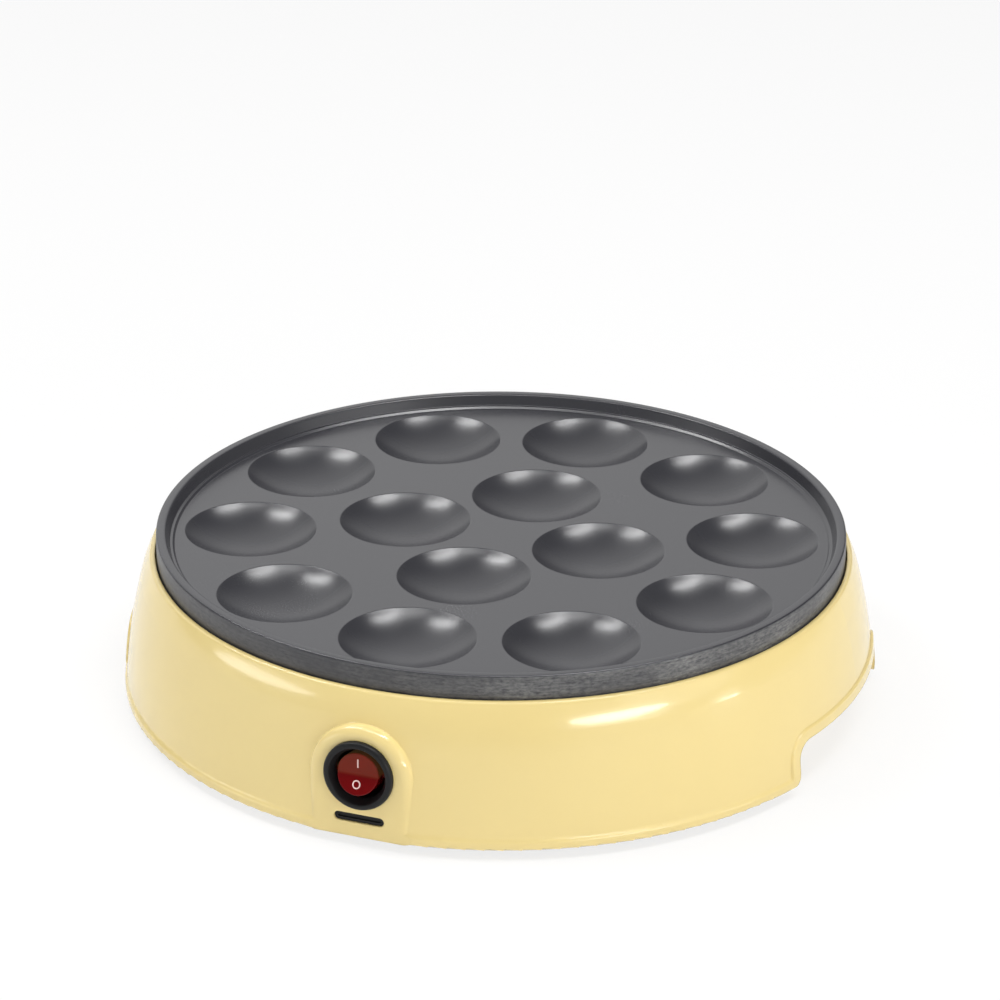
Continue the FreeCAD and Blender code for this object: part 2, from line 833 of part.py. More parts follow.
def make_thermostat_ring():
    low = cup_under - ring_thickness
    at = polar(ear_ring, 0)
    ears = round_the_axis(column(ear_radius, low, cup_under, at), ear_angles)
    holes = round_the_axis(column(small_hole, low - 1, cup_under + 1, at), ear_angles)
    disc = fused([column(thermostat_radius + 1.6, low, cup_under)] + ears)
    return disc.cut([column(thermostat_body_radius + fit_clearance, low - 1, cup_under + 1)] + holes)


def fuse_cylinder(radius, length):
    return Part.makeCylinder(radius, length, FreeCAD.Vector(fuse_x, -length / 2, fuse_z), along)


def make_fuse():
    return fused([fuse_cylinder(fuse_radius, fuse_length), fuse_cylinder(fuse_wire, fuse_span)])


def make_sleeve():
    bore = fuse_cylinder(fuse_radius + fit_clearance, sleeve_length + 2)
    return fuse_cylinder(sleeve_radius, sleeve_length).cut(bore)


def make_fuse_clip():
    inner = sleeve_radius + fit_clearance
    outer = inner + clip_thickness
    wing = outer + clip_wing
    low = fuse_z - outer
    corners = [
        (-wing, shield_under),
        (-wing, shield_under - clip_thickness),
        (-outer, shield_under - clip_thickness),
        (-outer, low, outer - 0.05),
        (outer, low, outer - 0.05),
        (outer, shield_under - clip_thickness),
        (wing, shield_under - clip_thickness),
        (wing, shield_under),
    ]
    clip = extruded(rounded_wire(corners, in_front), along * clip_width)
    hollow = Part.makeCylinder(inner, clip_width + 2, FreeCAD.Vector(0, -1, fuse_z), along)
    corner = FreeCAD.Vector(-inner, -1, fuse_z)
    throat = Part.makeBox(2 * inner, clip_width + 2, shield_under - fuse_z + 1, corner)
    clip = clip.cut([hollow, throat])
    clip.translate(FreeCAD.Vector(fuse_x, -clip_width / 2, 0))
    return clip


def block_corner():
    return FreeCAD.Vector(-block_length / 2, block_front, cover_top)


def insert_places():
    z = cover_top + block_height / 2
    return [FreeCAD.Vector(i * insert_pitch, block_front, z) for i in (-1, 0, 1)]


def terminal_screw_at():
    return FreeCAD.Vector(insert_pitch / 2, block_y, 0)


def make_block():
    block = Part.makeBox(block_length, block_width, block_height, block_corner())
    half_way = cover_top + block_height / 2
    block = block.makeFillet(1.0, [e for e in block.Edges if abs(e.CenterOfMass.z - half_way) < 1])
    top = cover_top + block_height + 1
    cuts = [column(screw_hole, cover_top - 1, top, terminal_screw_at())]
    for at in insert_places():
        cuts.append(Part.makeCylinder(insert_radius + fit_clearance, block_width + 2, at - along, along))
        cuts.append(column(insert_radius - 0.4, at.z, top, FreeCAD.Vector(at.x, block_y, 0)))
    return less(block, cuts)


def make_inserts():
    inserts = []
    for at in insert_places():
        tube = Part.makeCylinder(insert_radius, block_width - 2, at + along, along)
        bore = Part.makeCylinder(insert_radius - insert_wall, block_width + 2, at - along, along)
        inserts.append(tube.cut(bore))
    return inserts


def make_cover():
    edge = wall_point(foot_lean, wall_thickness)[0] - cover_clearance
    disc = column(edge, cover_z, cover_top)
    rim = column(edge, cover_top, cover_top + cover_rim_height)
    rim = rim.cut(column(edge - cover_rim_thickness, cover_top - 1, cover_top + cover_rim_height + 1))
    cover = fused([disc, rim, ring_rib()])
    inner_x = flange_radius - grip_depth - grip_wall - cover_clearance
    notch_half = grip_half_width + grip_wall + cover_clearance
    notch = Part.makeBox(edge, 2 * notch_half, grip_top, FreeCAD.Vector(inner_x, -notch_half, 0))
    notches = round_the_axis(notch, (0, 180))
    low, high = cover_z - 1, cover_top + 1
    holes = round_the_axis(column(screw_hole, low, high, polar(foot_ring, 0)), foot_angles)
    block_hole = column(screw_hole, low, high, terminal_screw_at())
    head = column(screw_head_radius + 0.3, low, cover_z + flat_head_height, terminal_screw_at())
    return less(cover, notches + holes + vents() + [block_hole, head])


def ring_rib():
    outer = block_front - cover_ring_gap
    top = cover_top + cover_ring_height
    ring = column(outer, cover_top - 0.5, top)
    return ring.cut(column(outer - cover_ring_width, cover_top - 1, top + 1))


def vents():
    cut = []
    for radius in [vent_radius + row * vent_pitch for row in range(vent_rows)]:
        for angle in vent_angles:
            wire = arc_slot(radius, vent_width, vent_sweep)
            slot = extruded(wire, up * (cover_thickness + 4))
            slot.translate(up * (cover_z - 1))
            cut.append(turned_to(slot, angle))
    return cut


def arc_slot(radius, width, sweep):
    half = sweep / 2
    inner, outer = radius - width / 2, radius + width / 2
    end_turn = math.degrees(width / 2 / radius)
    return stepped_wire(
        (inner, -half),
        [
            ((inner, 0), (inner, half)),
            ((radius, half + end_turn), (outer, half)),
            ((outer, 0), (outer, -half)),
            ((radius, -half - end_turn), (inner, -half)),
        ],
        polar,
    )


def make_foot(angle):
    corners = [
        (screw_hole + 0.3, cover_z),
        (screw_hole + 0.3, base_z - foot_web),
        (screw_head_radius + 0.5, base_z - foot_web),
        (screw_head_radius + 0.5, 0),
        (foot_radius - 0.6, 0, 0.8),
        (foot_radius, cover_z),
    ]
    foot = turned(corners)
    foot.translate(polar(foot_ring, angle))
    return foot


# Switch parts: a profile of (radius, out) points turned round the switch's axis.
def switch_turned(corners):
    solid = turned(corners)
    solid.rotate(zero, across, 90)
    solid.translate(FreeCAD.Vector(0, -pad_front, switch_z))
    return solid


def switch_box(x0, x1, out0, out1, z0, z1):
    corner = FreeCAD.Vector(x0, -pad_front - out1, switch_z + z0)
    return Part.makeBox(x1 - x0, out1 - out0, z1 - z0, corner)


def make_switch_body():
    floor_out = -barrel_depth + barrel_floor
    profile = [
        (0, -barrel_depth),
        (barrel_radius, -barrel_depth),
        (barrel_radius, 0),
        (bezel_radius, 0),
        (bezel_radius, bezel_proud, 1.2),
        (bezel_crown, bezel_proud, 0.6),
        (bore_radius, -funnel_depth),
        (bore_radius, floor_out),
        (0, floor_out),
    ]
    body = switch_turned(profile)
    lug_proud, lug_back = 0.9, pad_wall + 4.5
    lug = switch_box(-3.0, 3.0, -lug_back, -pad_wall - 0.3, barrel_radius - 1.0, barrel_radius + lug_proud)
    centres = [(edge, edge.CenterOfMass) for edge in lug.Edges]
    high, deep = switch_z + barrel_radius + lug_proud - 0.1, -pad_front + lug_back - 0.1
    lug = lug.makeChamfer(1.6, [edge for edge, at in centres if at.z > high and at.y > deep])
    lower_lug = lug.mirror(FreeCAD.Vector(0, 0, switch_z), up)
    bore = along_switch(bore_radius, floor_out, 0)
    body = fused([body, lug.cut(bore), lower_lug.cut(bore)])
    reach = barrel_radius + 2
    start = rocker_axis() - across * reach
    trunnions = Part.makeCylinder(trunnion_radius + trunnion_clearance, 2 * reach, start, across)
    wide = tab_width / 2 + tab_clearance
    tall = tab_thickness / 2 + tab_clearance
    cuts = [trunnions]
    for z in (-tab_pitch, 0, tab_pitch):
        cuts.append(switch_box(-wide, wide, -barrel_depth - 1, floor_out + 1, z - tall, z + tall))
    return tilted(less(body, cuts))


def rocker_axis():
    return FreeCAD.Vector(0, -pad_front + rocker_pivot, switch_z)


# The rocker is drawn level, then set with its top pressed in.
def pressed(shape):
    copy = shape.copy()
    copy.rotate(rocker_axis(), across, -rocker_throw / 2)
    return tilted(copy)


def make_rocker():
    slope = math.tan(math.radians(rocker_throw / 2))
    edge = rocker_face + rocker_radius * slope
    crown = -rocker_pivot + edge
    body = switch_turned(
        [
            (0, -rocker_pivot - rocker_skirt),
            (rocker_radius - 0.4, -rocker_pivot - rocker_skirt),
            (rocker_radius, -rocker_pivot + 0.5),
            (rocker_radius, crown + 1),
            (0, crown + 1),
        ]
    )
    valley = -rocker_pivot + rocker_face
    cut = []
    for side in (1, -1):
        far = 2 * rocker_radius
        steps = [(side * far, valley + far * slope), (side * far, crown + 6), (0, crown + 6)]
        wire = stepped_wire((0, valley), steps, switch_side)
        wedge = extruded(wire, across * (4 * rocker_radius))
        wedge.translate(across * (-2 * rocker_radius))
        cut.append(wedge)
    body = body.cut(cut)
    inner = rocker_radius - rocker_wall
    roof = valley - rocker_wall
    hollow = along_switch(inner, -rocker_pivot - rocker_skirt - 1, roof)
    stem = along_switch(stem_radius, -rocker_pivot - 3.0, roof + 0.3)
    stem = stem.cut(along_switch(plunger_radius + fit_clearance, -rocker_pivot - 4.0, roof))
    reach = bore_radius + trunnion_bite
    trunnions = Part.makeCylinder(trunnion_radius, 2 * reach, rocker_axis() - across * reach, across)
    trunnions = trunnions.cut(along_switch(inner, -rocker_pivot - 5, -rocker_pivot + 5))
    return pressed(fused([body.cut(hollow), stem, trunnions]))


def switch_side(z, out):
    return FreeCAD.Vector(0, -pad_front - out, switch_z + z)


def make_plunger():
    tip = -rocker_pivot - plunger_tip
    top = -rocker_pivot - 1.5
    return pressed(switch_turned([(0, tip), (plunger_radius, tip, 0.9), (plunger_radius, top), (0, top)]))


def make_spring():
    roof = -rocker_pivot + rocker_face - rocker_wall
    top = roof - 0.05
    low = -rocker_pivot - 1.45
    return pressed(along_switch(1.2, low, top).cut(along_switch(0.8, low - 1, top + 1)))


def make_lamp():
    top = -rocker_pivot + rocker_face - rocker_wall - 0.2
    low = top - lamp_length
    lamp = switch_turned([(0, low), (lamp_radius, low, 0.5), (lamp_radius, top, 0.9), (0, top)])
    lamp.translate(across * (stem_radius + lamp_radius + 0.3))
    return pressed(lamp)


def make_blade():
    face = -blade_pivot + blade_under
    half = blade_width / 2
    blade = switch_box(-half, half, face, face + blade_thickness, -blade_half_length, blade_half_length)
    blade.rotate(FreeCAD.Vector(0, -pad_front + blade_pivot, switch_z), across, blade_throw / 2)
    return tilted(blade)


def make_tabs():
    low = -barrel_depth - tab_length
    wide, tall = tab_width / 2, tab_thickness / 2
    tops = {-tab_pitch: contact_out(), 0: -blade_pivot, tab_pitch: -barrel_depth + barrel_floor + 0.8}
    tabs = [switch_box(-wide, wide, low, top, z - tall, z + tall) for z, top in tops.items()]
    start = FreeCAD.Vector(0.5 - wide, -pad_front + blade_pivot, switch_z)
    tabs[1] = fused([tabs[1], Part.makeCylinder(fulcrum_radius, tab_width - 1, start, across)])
    return [tilted(tab) for tab in tabs]


# The fixed contact stops just short of the blade's pressed end.
def contact_out():
    dip = math.radians(blade_throw / 2)
    reach = tab_pitch + tab_thickness / 2
    return -blade_pivot + blade_under / math.cos(dip) - reach * math.tan(dip) - contact_gap


# A lead's path: straight runs joined by arcs as large as the shorter run beside each corner allows.
def lead_path(points):
    points = [FreeCAD.Vector(*p) for p in points]
    edges = []
    at = points[0]
    least = None
    for i in range(1, len(points) - 1):
        back = points[i - 1] - points[i]
        on = points[i + 1] - points[i]
        half = back.getAngle(on) / 2
        reach = 0.45 * min(back.Length, on.Length)
        radius = reach * math.tan(half)
        least = radius if least is None else min(least, radius)
        back.normalize()
        on.normalize()
        inward = back + on
        inward.normalize()
        start = points[i] + back * reach
        end = points[i] + on * reach
        middle = points[i] + inward * (radius / math.sin(half) - radius)
        edges.append(Part.LineSegment(at, start).toShape())
        edges.append(Part.Arc(start, middle, end).toShape())
        at = end
    edges.append(Part.LineSegment(at, points[-1]).toShape())
    return Part.Wire(edges), least


def make_lead(name, points):
    path, least = lead_path(points)
    direction = FreeCAD.Vector(*points[1]) - FreeCAD.Vector(*points[0])
    section = Part.Wire(Part.makeCircle(lead_radius, FreeCAD.Vector(*points[0]), direction))
    tube = path.makePipeShell([section], True, False)
    expected = math.pi * lead_radius ** 2 * path.Length
    ratio = round(tube.Volume / expected, 4)
    print(name, "length", round(path.Length, 1), "least radius", round(least, 1), "volume ratio", ratio)
    return tube


def tab_end(z):
    behind = barrel_depth + tab_length + lead_gap
    turn = math.radians(pad_tilt)
    y = -pad_front + behind * math.cos(turn) + z * math.sin(turn)
    return FreeCAD.Vector(0, y, switch_z - behind * math.sin(turn) + z * math.cos(turn))


def lead_routes():
    low = cover_top + block_height / 2
    front = block_front - lead_gap
    load, centre, lamp = (tab_end(z) for z in (-tab_pitch, 0, tab_pitch))
    left, right = cold_end(-1), cold_end(1)
    pin_z = left.z - 0.75 * pin_length
    pin_side = pin_radius + lead_gap
    thermo = thermostat_under - thermostat_tab_length - lead_gap
    pole = thermostat_tab_pitch / 2
    wire_end = fuse_span / 2 + lead_gap
    tag = earth_tail()
    return {
        "lead_live": [
            (0, centre.y, centre.z),
            (-3, centre.y + 17, centre.z - 1),
            (-38, -48, low),
            (-40, 34, low),
            (-insert_pitch - 1, front - 14, low),
            (-insert_pitch, front, low),
        ],
        "lead_switched": [
            (0, load.y, load.z),
            (0, load.y + 15, load.z - 0.5),
            (8, -48, low),
            (pole, 0, low),
            (pole, 0, thermo),
        ],
        "lead_fuse": [
            (-pole, 0, thermo),
            (-pole, 0, low + 2),
            (-26, -30, low + 2),
            (fuse_x, -36, fuse_z - 2),
            (fuse_x, -wire_end, fuse_z),
        ],
        "lead_element": [
            (fuse_x, wire_end, fuse_z),
            (fuse_x, 36, fuse_z - 1),
            (-34, left.y, pin_z),
            (left.x - pin_side, left.y, pin_z),
        ],
        "lead_neutral": [
            (right.x, right.y + pin_side, pin_z),
            (right.x, right.y + 9, pin_z),
            (1.6, right.y + 11, low),
            (1.6, front, low),
        ],
        "lead_lamp": [
            (-1.6, front, low),
            (-1.6, front - 14, low),
            (10, 28, low),
            (34, -30, low),
            (14, -66, lamp.z - 8),
            (1.5, lamp.y + 17, lamp.z),
            (0, lamp.y, lamp.z),
        ],
        "lead_earth": [
            (insert_pitch, front, low),
            (insert_pitch, front - 9.5, low),
            (insert_pitch + 11, front - 8, low),
            (tag.x, tag.y, low + 3),
            (tag.x, tag.y, tag.z - lead_gap),
        ],
    }


def earth_tail():
    at = polar(clamp_ring, earth_angle)
    return FreeCAD.Vector(at.x, at.y - tag_tail, earth_boss_under - tag_blade_drop)


def make_earth_tag():
    at = polar(clamp_ring, earth_angle)
    tail = earth_tail()
    back = tail.y - tag_thickness / 2
    under = earth_boss_under - tag_thickness
    corner = FreeCAD.Vector(at.x - tag_width / 2, back, under)
    plate = Part.makeBox(tag_width, tag_length, tag_thickness, corner)
    corner = FreeCAD.Vector(tail.x - tag_blade_width / 2, back, tail.z)
    blade = Part.makeBox(tag_blade_width, tag_thickness, tag_blade_drop, corner)
    return fused([plate, blade]).cut(column(screw_hole, under - 1, earth_boss_under + 1, at))


def save_frame():
    save("housing", [make_housing()])
    save("base_cover", [make_cover()])
    save("cord_gland", [make_gland()])
    for name, angle in zip(("rear_right", "rear_left", "front_left", "front_right"), foot_angles):
        save("foot_" + name, [make_foot(angle)])
    foot_seat = base_z - foot_web
    length = cover_top - foot_seat + foot_screw_bite
    save("foot_screws", ring_of_screws(foot_ring, foot_angles, foot_seat, length, foot_head_height))


def save_plate_and_element():
    save("baking_plate", [make_baking_plate()])
    save("heating_element", [make_element()])
    save("element_beads", [make_bead(side) for side in (1, -1)])
    save("element_pins", [make_pin(side) for side in (1, -1)])
    for i, angle in enumerate(mount_angles, 1):
        save("heater_strap_%d" % i, [turned_to(make_strap(), angle)])
        save("plate_clamp_%d" % i, [turned_to(make_clamp(), angle)])
    save("shield_spacers", round_the_axis(make_spacer(), mount_angles))
    tip = under_z - 2.5
    length = tip - shield_under
    save("shield_screws", ring_of_screws(strap_ring, mount_angles, shield_under, length, screw_head_height))
    length = tip - clamp_under
    save("clamp_screws", ring_of_screws(clamp_ring, mount_angles, clamp_under, length, screw_head_height))
    save("heat_shield", [make_shield()])


def save_controls():
    save("thermostat", [make_thermostat()])
    save("thermostat_ring", [make_thermostat_ring()])
    low = cup_under - ring_thickness
    length = under_z - 2 - low
    small = screw(polar(ear_ring, 0), low, small_screw_radius, length, small_head_radius, small_head_height)
    save("thermostat_screws", round_the_axis(small, ear_angles))
    save("thermal_fuse", [make_fuse()])
    save("fuse_sleeve", [make_sleeve()])
    save("fuse_clip", [make_fuse_clip()])


def save_wiring():
    save("terminal_block", [make_block()])
    save("terminal_inserts", make_inserts())
    seat = cover_z + flat_head_height
    at = terminal_screw_at()
    one = screw(at, seat, screw_radius, terminal_screw_length, screw_head_radius, flat_head_height)
    save("terminal_screw", [one])
    save("earth_tag", [make_earth_tag()])
    at = polar(clamp_ring, earth_angle)
    under = earth_boss_under - tag_thickness
    one = screw(at, under, screw_radius, earth_screw_length, screw_head_radius, screw_head_height)
    save("earth_screw", [one])
    for name, points in lead_routes().items():
        save(name, [make_lead(name, points)])


def save_switch():
    save("slot_plug", [make_slot_plug()])
    save("switch_body", [make_switch_body()])
    save("rocker", [make_rocker()])
    save("rocker_plunger", [make_plunger()])
    save("rocker_spring", [make_spring()])
    save("rocker_lamp", [make_lamp()])
    save("contact_blade", [make_blade()])
    save("switch_tabs", make_tabs())


os.makedirs("parts", exist_ok=True)
save_frame()
save_plate_and_element()
save_controls()
save_wiring()
save_switch()
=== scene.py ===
import json
import math

import bmesh
import bpy
from mathutils import Matrix, Vector


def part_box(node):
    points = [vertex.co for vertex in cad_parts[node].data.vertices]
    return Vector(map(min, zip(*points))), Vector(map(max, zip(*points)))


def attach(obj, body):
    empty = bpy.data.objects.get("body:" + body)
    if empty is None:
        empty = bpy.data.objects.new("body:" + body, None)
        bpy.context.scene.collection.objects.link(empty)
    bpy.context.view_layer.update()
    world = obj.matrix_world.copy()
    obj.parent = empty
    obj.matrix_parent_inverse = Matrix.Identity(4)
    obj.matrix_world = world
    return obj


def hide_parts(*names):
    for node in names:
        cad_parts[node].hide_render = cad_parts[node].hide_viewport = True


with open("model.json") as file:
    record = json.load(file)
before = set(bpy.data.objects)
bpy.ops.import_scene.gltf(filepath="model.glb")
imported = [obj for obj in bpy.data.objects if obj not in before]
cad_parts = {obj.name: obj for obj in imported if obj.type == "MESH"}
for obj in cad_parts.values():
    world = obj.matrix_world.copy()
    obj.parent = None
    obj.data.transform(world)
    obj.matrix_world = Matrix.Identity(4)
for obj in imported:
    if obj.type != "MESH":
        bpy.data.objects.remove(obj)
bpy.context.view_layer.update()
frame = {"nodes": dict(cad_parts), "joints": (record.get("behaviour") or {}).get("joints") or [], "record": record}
mm = 0.001
print("frame loaded:", len(frame["nodes"]), "nodes")


class Signal:  # a socket that takes part in Python expressions
    def __init__(self, board, socket):
        self.board = board
        self.socket = socket

    def math(self, operation, first, second=None, clamp=False):
        inputs = {0: first} if second is None else {0: first, 1: second}
        made = self.board.node("ShaderNodeMath", {"operation": operation, "use_clamp": clamp}, inputs)
        return Signal(self.board, made.outputs[0])

    def __add__(self, other):
        return self.math("ADD", self, other)

    def __radd__(self, other):
        return self.math("ADD", other, self)

    def __sub__(self, other):
        return self.math("SUBTRACT", self, other)

    def __rsub__(self, other):
        return self.math("SUBTRACT", other, self)

    def __mul__(self, other):
        return self.math("MULTIPLY", self, other)

    def __rmul__(self, other):
        return self.math("MULTIPLY", other, self)

    def above(self, level):
        return self.math("GREATER_THAN", self, level)

    def size(self):
        return self.math("ABSOLUTE", self)

    def held(self):  # kept between 0 and 1
        return self.math("ADD", self, 0.0, clamp=True)


class Board:  # one node tree and the single way in which its nodes are made
    def __init__(self, tree):
        self.tree = tree

    def node(self, kind, settings=None, inputs=None):
        made = self.tree.nodes.new(kind)
        for key, value in (settings or {}).items():
            if key == "stops":
                self.setStops(made.color_ramp, value)
            else:
                setattr(made, key, value)
        for key, value in (inputs or {}).items():
            self.feed(made.inputs[key], value)
        return made

    def feed(self, socket, value):
        if isinstance(value, Signal):
            value = value.socket
        if isinstance(value, bpy.types.NodeSocket):
            self.tree.links.new(value, socket)
        elif isinstance(value, (list, tuple)) and socket.type == "GEOMETRY":
            for part in value:
                self.tree.links.new(part, socket)
        else:
            socket.default_value = value

    def close(self, geometry, finish):  # the last nodes of a geometry tree
        inputs = {"Geometry": geometry, "Material": finish}
        self.node("NodeGroupOutput", {}, {0: self.node("GeometryNodeSetMaterial", {}, inputs).outputs[0]})

    def setStops(self, ramp, stops):
        while len(ramp.elements) < len(stops):
            ramp.elements.new(0.5)
        for element, (place, level) in zip(ramp.elements, stops):
            element.position = place
            element.color = (level, level, level, 1)


class Finish(Board):  # a material on the principled shader
    def __init__(self, name, **fixed):
        self.material = bpy.data.materials.new(name)
        self.material.use_nodes = True
        super().__init__(self.material.node_tree)
        self.shader = self.tree.nodes["Principled BSDF"]
        self.place = self.node("ShaderNodeTexCoord").outputs["Object"]
        for key, value in fixed.items():
            self.set(key, value)

    def set(self, name, value):
        self.feed(self.shader.inputs[name], value)

    def stretched(self, scale):
        return self.node("ShaderNodeMapping", {}, {"Vector": self.place, "Scale": scale}).outputs[0]

    def noise(self, scale, detail=2.0, place=None, roughness=0.5):
        inputs = {"Vector": place or self.place, "Scale": scale, "Detail": detail, "Roughness": roughness}
        return Signal(self, self.node("ShaderNodeTexNoise", {}, inputs).outputs["Fac"])

    def ramp(self, value, stops):
        return Signal(self, self.node("ShaderNodeValToRGB", {"stops": stops}, {0: value}).outputs[0])

    def axis(self, name):
        parts = self.node("ShaderNodeSeparateXYZ", {}, {0: self.place})
        return Signal(self, parts.outputs[name])

    def facing(self, name):
        normal = self.node("ShaderNodeNewGeometry").outputs["Normal"]
        parts = self.node("ShaderNodeSeparateXYZ", {}, {0: normal})
        return Signal(self, parts.outputs[name])

    def blend(self, factor, first, second):
        inputs = {0: factor, 6: first, 7: second}
        return self.node("ShaderNodeMix", {"data_type": "RGBA"}, inputs).outputs[2]

    def bump(self, height, distance, strength=1.0, over=None):
        inputs = {"Height": height, "Distance": distance, "Strength": strength}
        if over:
            inputs["Normal"] = over
        return self.node("ShaderNodeBump", {}, inputs).outputs[0]


def shade(red, green, blue):  # a colour as a screen shows it, 0 to 255
    def straight(level):
        level = level / 255
        return level / 12.92 if level <= 0.04045 else ((level + 0.055) / 1.055) ** 2.4
    return (straight(red), straight(green), straight(blue), 1.0)


hinge = next(joint for joint in frame["joints"] if joint["name"] == "rocker_tilt")


def creamGloss():
    look = {
        "cream": shade(241, 220, 153), "deep": shade(237, 213, 142),
        "gloss": 0.13, "coat": 0.28, "softEdge": 0.0009,
        "clouds": 9.0, "peel": 260.0, "peelDepth": 0.00004, "dust": 900.0,
    }
    f = Finish("creamGloss", **{"IOR": 1.48, "Coat Roughness": 0.05, "Coat IOR": 1.5})
    cloud = f.noise(look["clouds"], 3.0)
    peel = f.noise(look["peel"], 1.0)
    dust = f.noise(look["dust"], 3.0)
    f.set("Base Color", f.blend(cloud, look["cream"], look["deep"]))
    f.set("Roughness", look["gloss"] + 0.05 * cloud + 0.03 * dust)
    f.set("Coat Weight", look["coat"] + 0.1 * cloud)
    soft = f.node("ShaderNodeBevel", {"samples": 6}, {"Radius": look["softEdge"]}).outputs[0]
    f.set("Normal", f.bump(peel, look["peelDepth"], 0.3, soft))
    return f.material


def nonStick():
    look = {
        "coat": shade(41, 41, 47), "pale": shade(60, 60, 64), "bare": shade(124, 124, 123),
        "gloss": 0.22, "sideDull": 0.16, "depth": 0.00002,
        "rim": 0.1142,  # the rim's side lies farther out than this
        "grain": 3200.0, "clouds": 28.0, "patches": 34.0,
        "turned": (60.0, 60.0, 1500.0), "nicks": (500.0, 500.0, 1300.0),
        "wornTo": (6.4, -5.9),  # the side of the rim that is rubbed most
    }
    f = Finish("nonStick", **{"IOR": 1.6})
    x, y = f.axis("X"), f.axis("Y")
    grain = f.noise(look["grain"], 2.0)
    cloud = f.noise(look["clouds"], 3.0)
    side = (x * x + y * y).above(look["rim"] ** 2) * f.ramp(f.facing("Z").size(), [(0.25, 1.0), (0.7, 0.0)])
    turned = f.noise(1.0, 5.0, f.stretched(look["turned"]), 0.75)
    nicks = f.noise(1.0, 3.0, f.stretched(look["nicks"]), 0.7)
    lines = f.ramp(0.45 * turned + 0.55 * nicks, [(0.38, 0.0), (0.62, 1.0)]) * side
    rubbed = f.ramp(x * look["wornTo"][0] + y * look["wornTo"][1], [(0.6, 0.3), (0.9, 1.0)])
    worn = rubbed * f.ramp(f.noise(look["patches"], 3.0), [(0.35, 0.3), (0.6, 1.0)])
    coat = f.blend((0.4 * grain + 0.35 * cloud).held(), look["coat"], look["pale"])
    f.set("Base Color", f.blend((lines * worn).held(), coat, look["bare"]))
    f.set("Roughness", look["gloss"] + 0.05 * cloud + 0.03 * grain + look["sideDull"] * side)
    fine = f.bump(grain, look["depth"], 0.4)
    f.set("Normal", f.bump(lines * worn, look["depth"], 0.35, fine))
    return f.material


def blackMoulding(name, gloss, grain, depth, sheen=0.5):
    f = Finish(name, **{"IOR": 1.5, "Specular IOR Level": sheen})
    spark = f.noise(grain, 2.0)
    cloud = f.noise(30.0, 2.0)
    f.set("Base Color", f.blend(cloud, shade(22, 22, 23), shade(34, 34, 35)))
    f.set("Roughness", gloss + 0.08 * cloud)
    f.set("Normal", f.bump(spark, depth, 0.5))
    return f.material


def rubberGrip():
    f = Finish("footRubber", **{"IOR": 1.5})
    grain = f.noise(2200.0, 3.0)
    f.set("Base Color", f.blend(f.noise(60.0, 2.0), shade(30, 30, 30), shade(48, 47, 46)))
    f.set("Roughness", 0.72 + 0.15 * grain)
    f.set("Normal", f.bump(grain, 0.00005, 0.6))
    return f.material


def paintedHazeRed():
    look = {
        "deep": shade(96, 4, 7), "bright": shade(114, 6, 9),
        # glow is a painted reflection, a warm emitted haze on the top half; the dark red below it is a faint
        # painted glow
        "glow": shade(120, 92, 54), "faintPaintedGlow": shade(40, 0, 0),
        "pivot": hinge["pos_m"][2], "blendRate": 400,  # how sharply the painted haze of the top half sets in
    }
    f = Finish("rockerRed", **{"IOR": 1.5, "Specular IOR Level": 0.12, "Emission Strength": 0.13})
    cloud = f.noise(160.0, 2.0)
    # Painted reflection: emission gives the top half a warm haze in place of the light its face reflects, and the
    # other half a faint painted red glow.
    paintedHazeShare = f.ramp((f.axis("Z") - look["pivot"]) * look["blendRate"], [(0.0, 0.0), (0.35, 1.0)])
    f.set("Base Color", f.blend(cloud, look["deep"], look["bright"]))
    f.set("Roughness", 0.16 + 0.06 * cloud)
    f.set("Emission Color", f.blend(paintedHazeShare, look["faintPaintedGlow"], look["glow"]))
    f.set("Normal", f.bump(f.noise(700.0, 1.0), 0.00002, 0.3))
    return f.material


def paleMark():
    f = Finish("markPrint", **{"IOR": 1.45})
    grain = f.noise(2500.0, 2.0)
    f.set("Base Color", f.blend(grain, shade(236, 196, 190), shade(250, 226, 220)))
    f.set("Roughness", 0.4 + 0.2 * grain)
    return f.material


def metal(name, colour, roughness, brushed=(1.0, 1.0, 1.0), grain=900.0):
    f = Finish(name, **{"Metallic": 1.0})
    lines = f.noise(grain, 3.0, f.stretched(brushed))
    stain = f.noise(40.0, 3.0)
    darker = tuple(channel * 0.72 for channel in colour[:3]) + (1.0,)
    f.set("Base Color", f.blend((0.5 * lines + 0.5 * stain).held(), colour, darker))
    f.set("Roughness", roughness + 0.12 * lines + 0.08 * stain)
    f.set("Normal", f.bump(lines, 0.00002, 0.5))
    return f.material


def moulded(name, colour, roughness, grain=1200.0, depth=0.00003):
    f = Finish(name, **{"IOR": 1.49})
    spots = f.noise(grain, 3.0)
    cloud = f.noise(50.0, 2.0)
    darker = tuple(channel * 0.82 for channel in colour[:3]) + (1.0,)
    f.set("Base Color", f.blend(cloud, colour, darker))
    f.set("Roughness", roughness + 0.1 * spots)
    f.set("Normal", f.bump(spots, depth, 0.5))
    return f.material


def wovenSleeve():
    f = Finish("glassSleeve", **{"IOR": 1.5})
    along = f.node("ShaderNodeTexWave", {"bands_direction": "DIAGONAL"}, {"Vector": f.place, "Scale": 520.0})
    braid = Signal(f, along.outputs["Fac"])
    f.set("Base Color", f.blend(braid, shade(205, 196, 170), shade(236, 230, 212)))
    f.set("Roughness", 0.75 + 0.1 * braid)
    f.set("Normal", f.bump(braid, 0.0001, 0.7))
    return f.material


def lampGlow():
    f = Finish("lampGlass", **{"IOR": 1.5, "Emission Strength": 0.6})
    haze = f.noise(400.0, 2.0)
    f.set("Base Color", f.blend(haze, shade(230, 150, 110), shade(250, 190, 150)))
    f.set("Emission Color", f.blend(haze, shade(255, 110, 60), shade(255, 150, 90)))
    f.set("Roughness", 0.1 + 0.1 * haze)
    return f.material


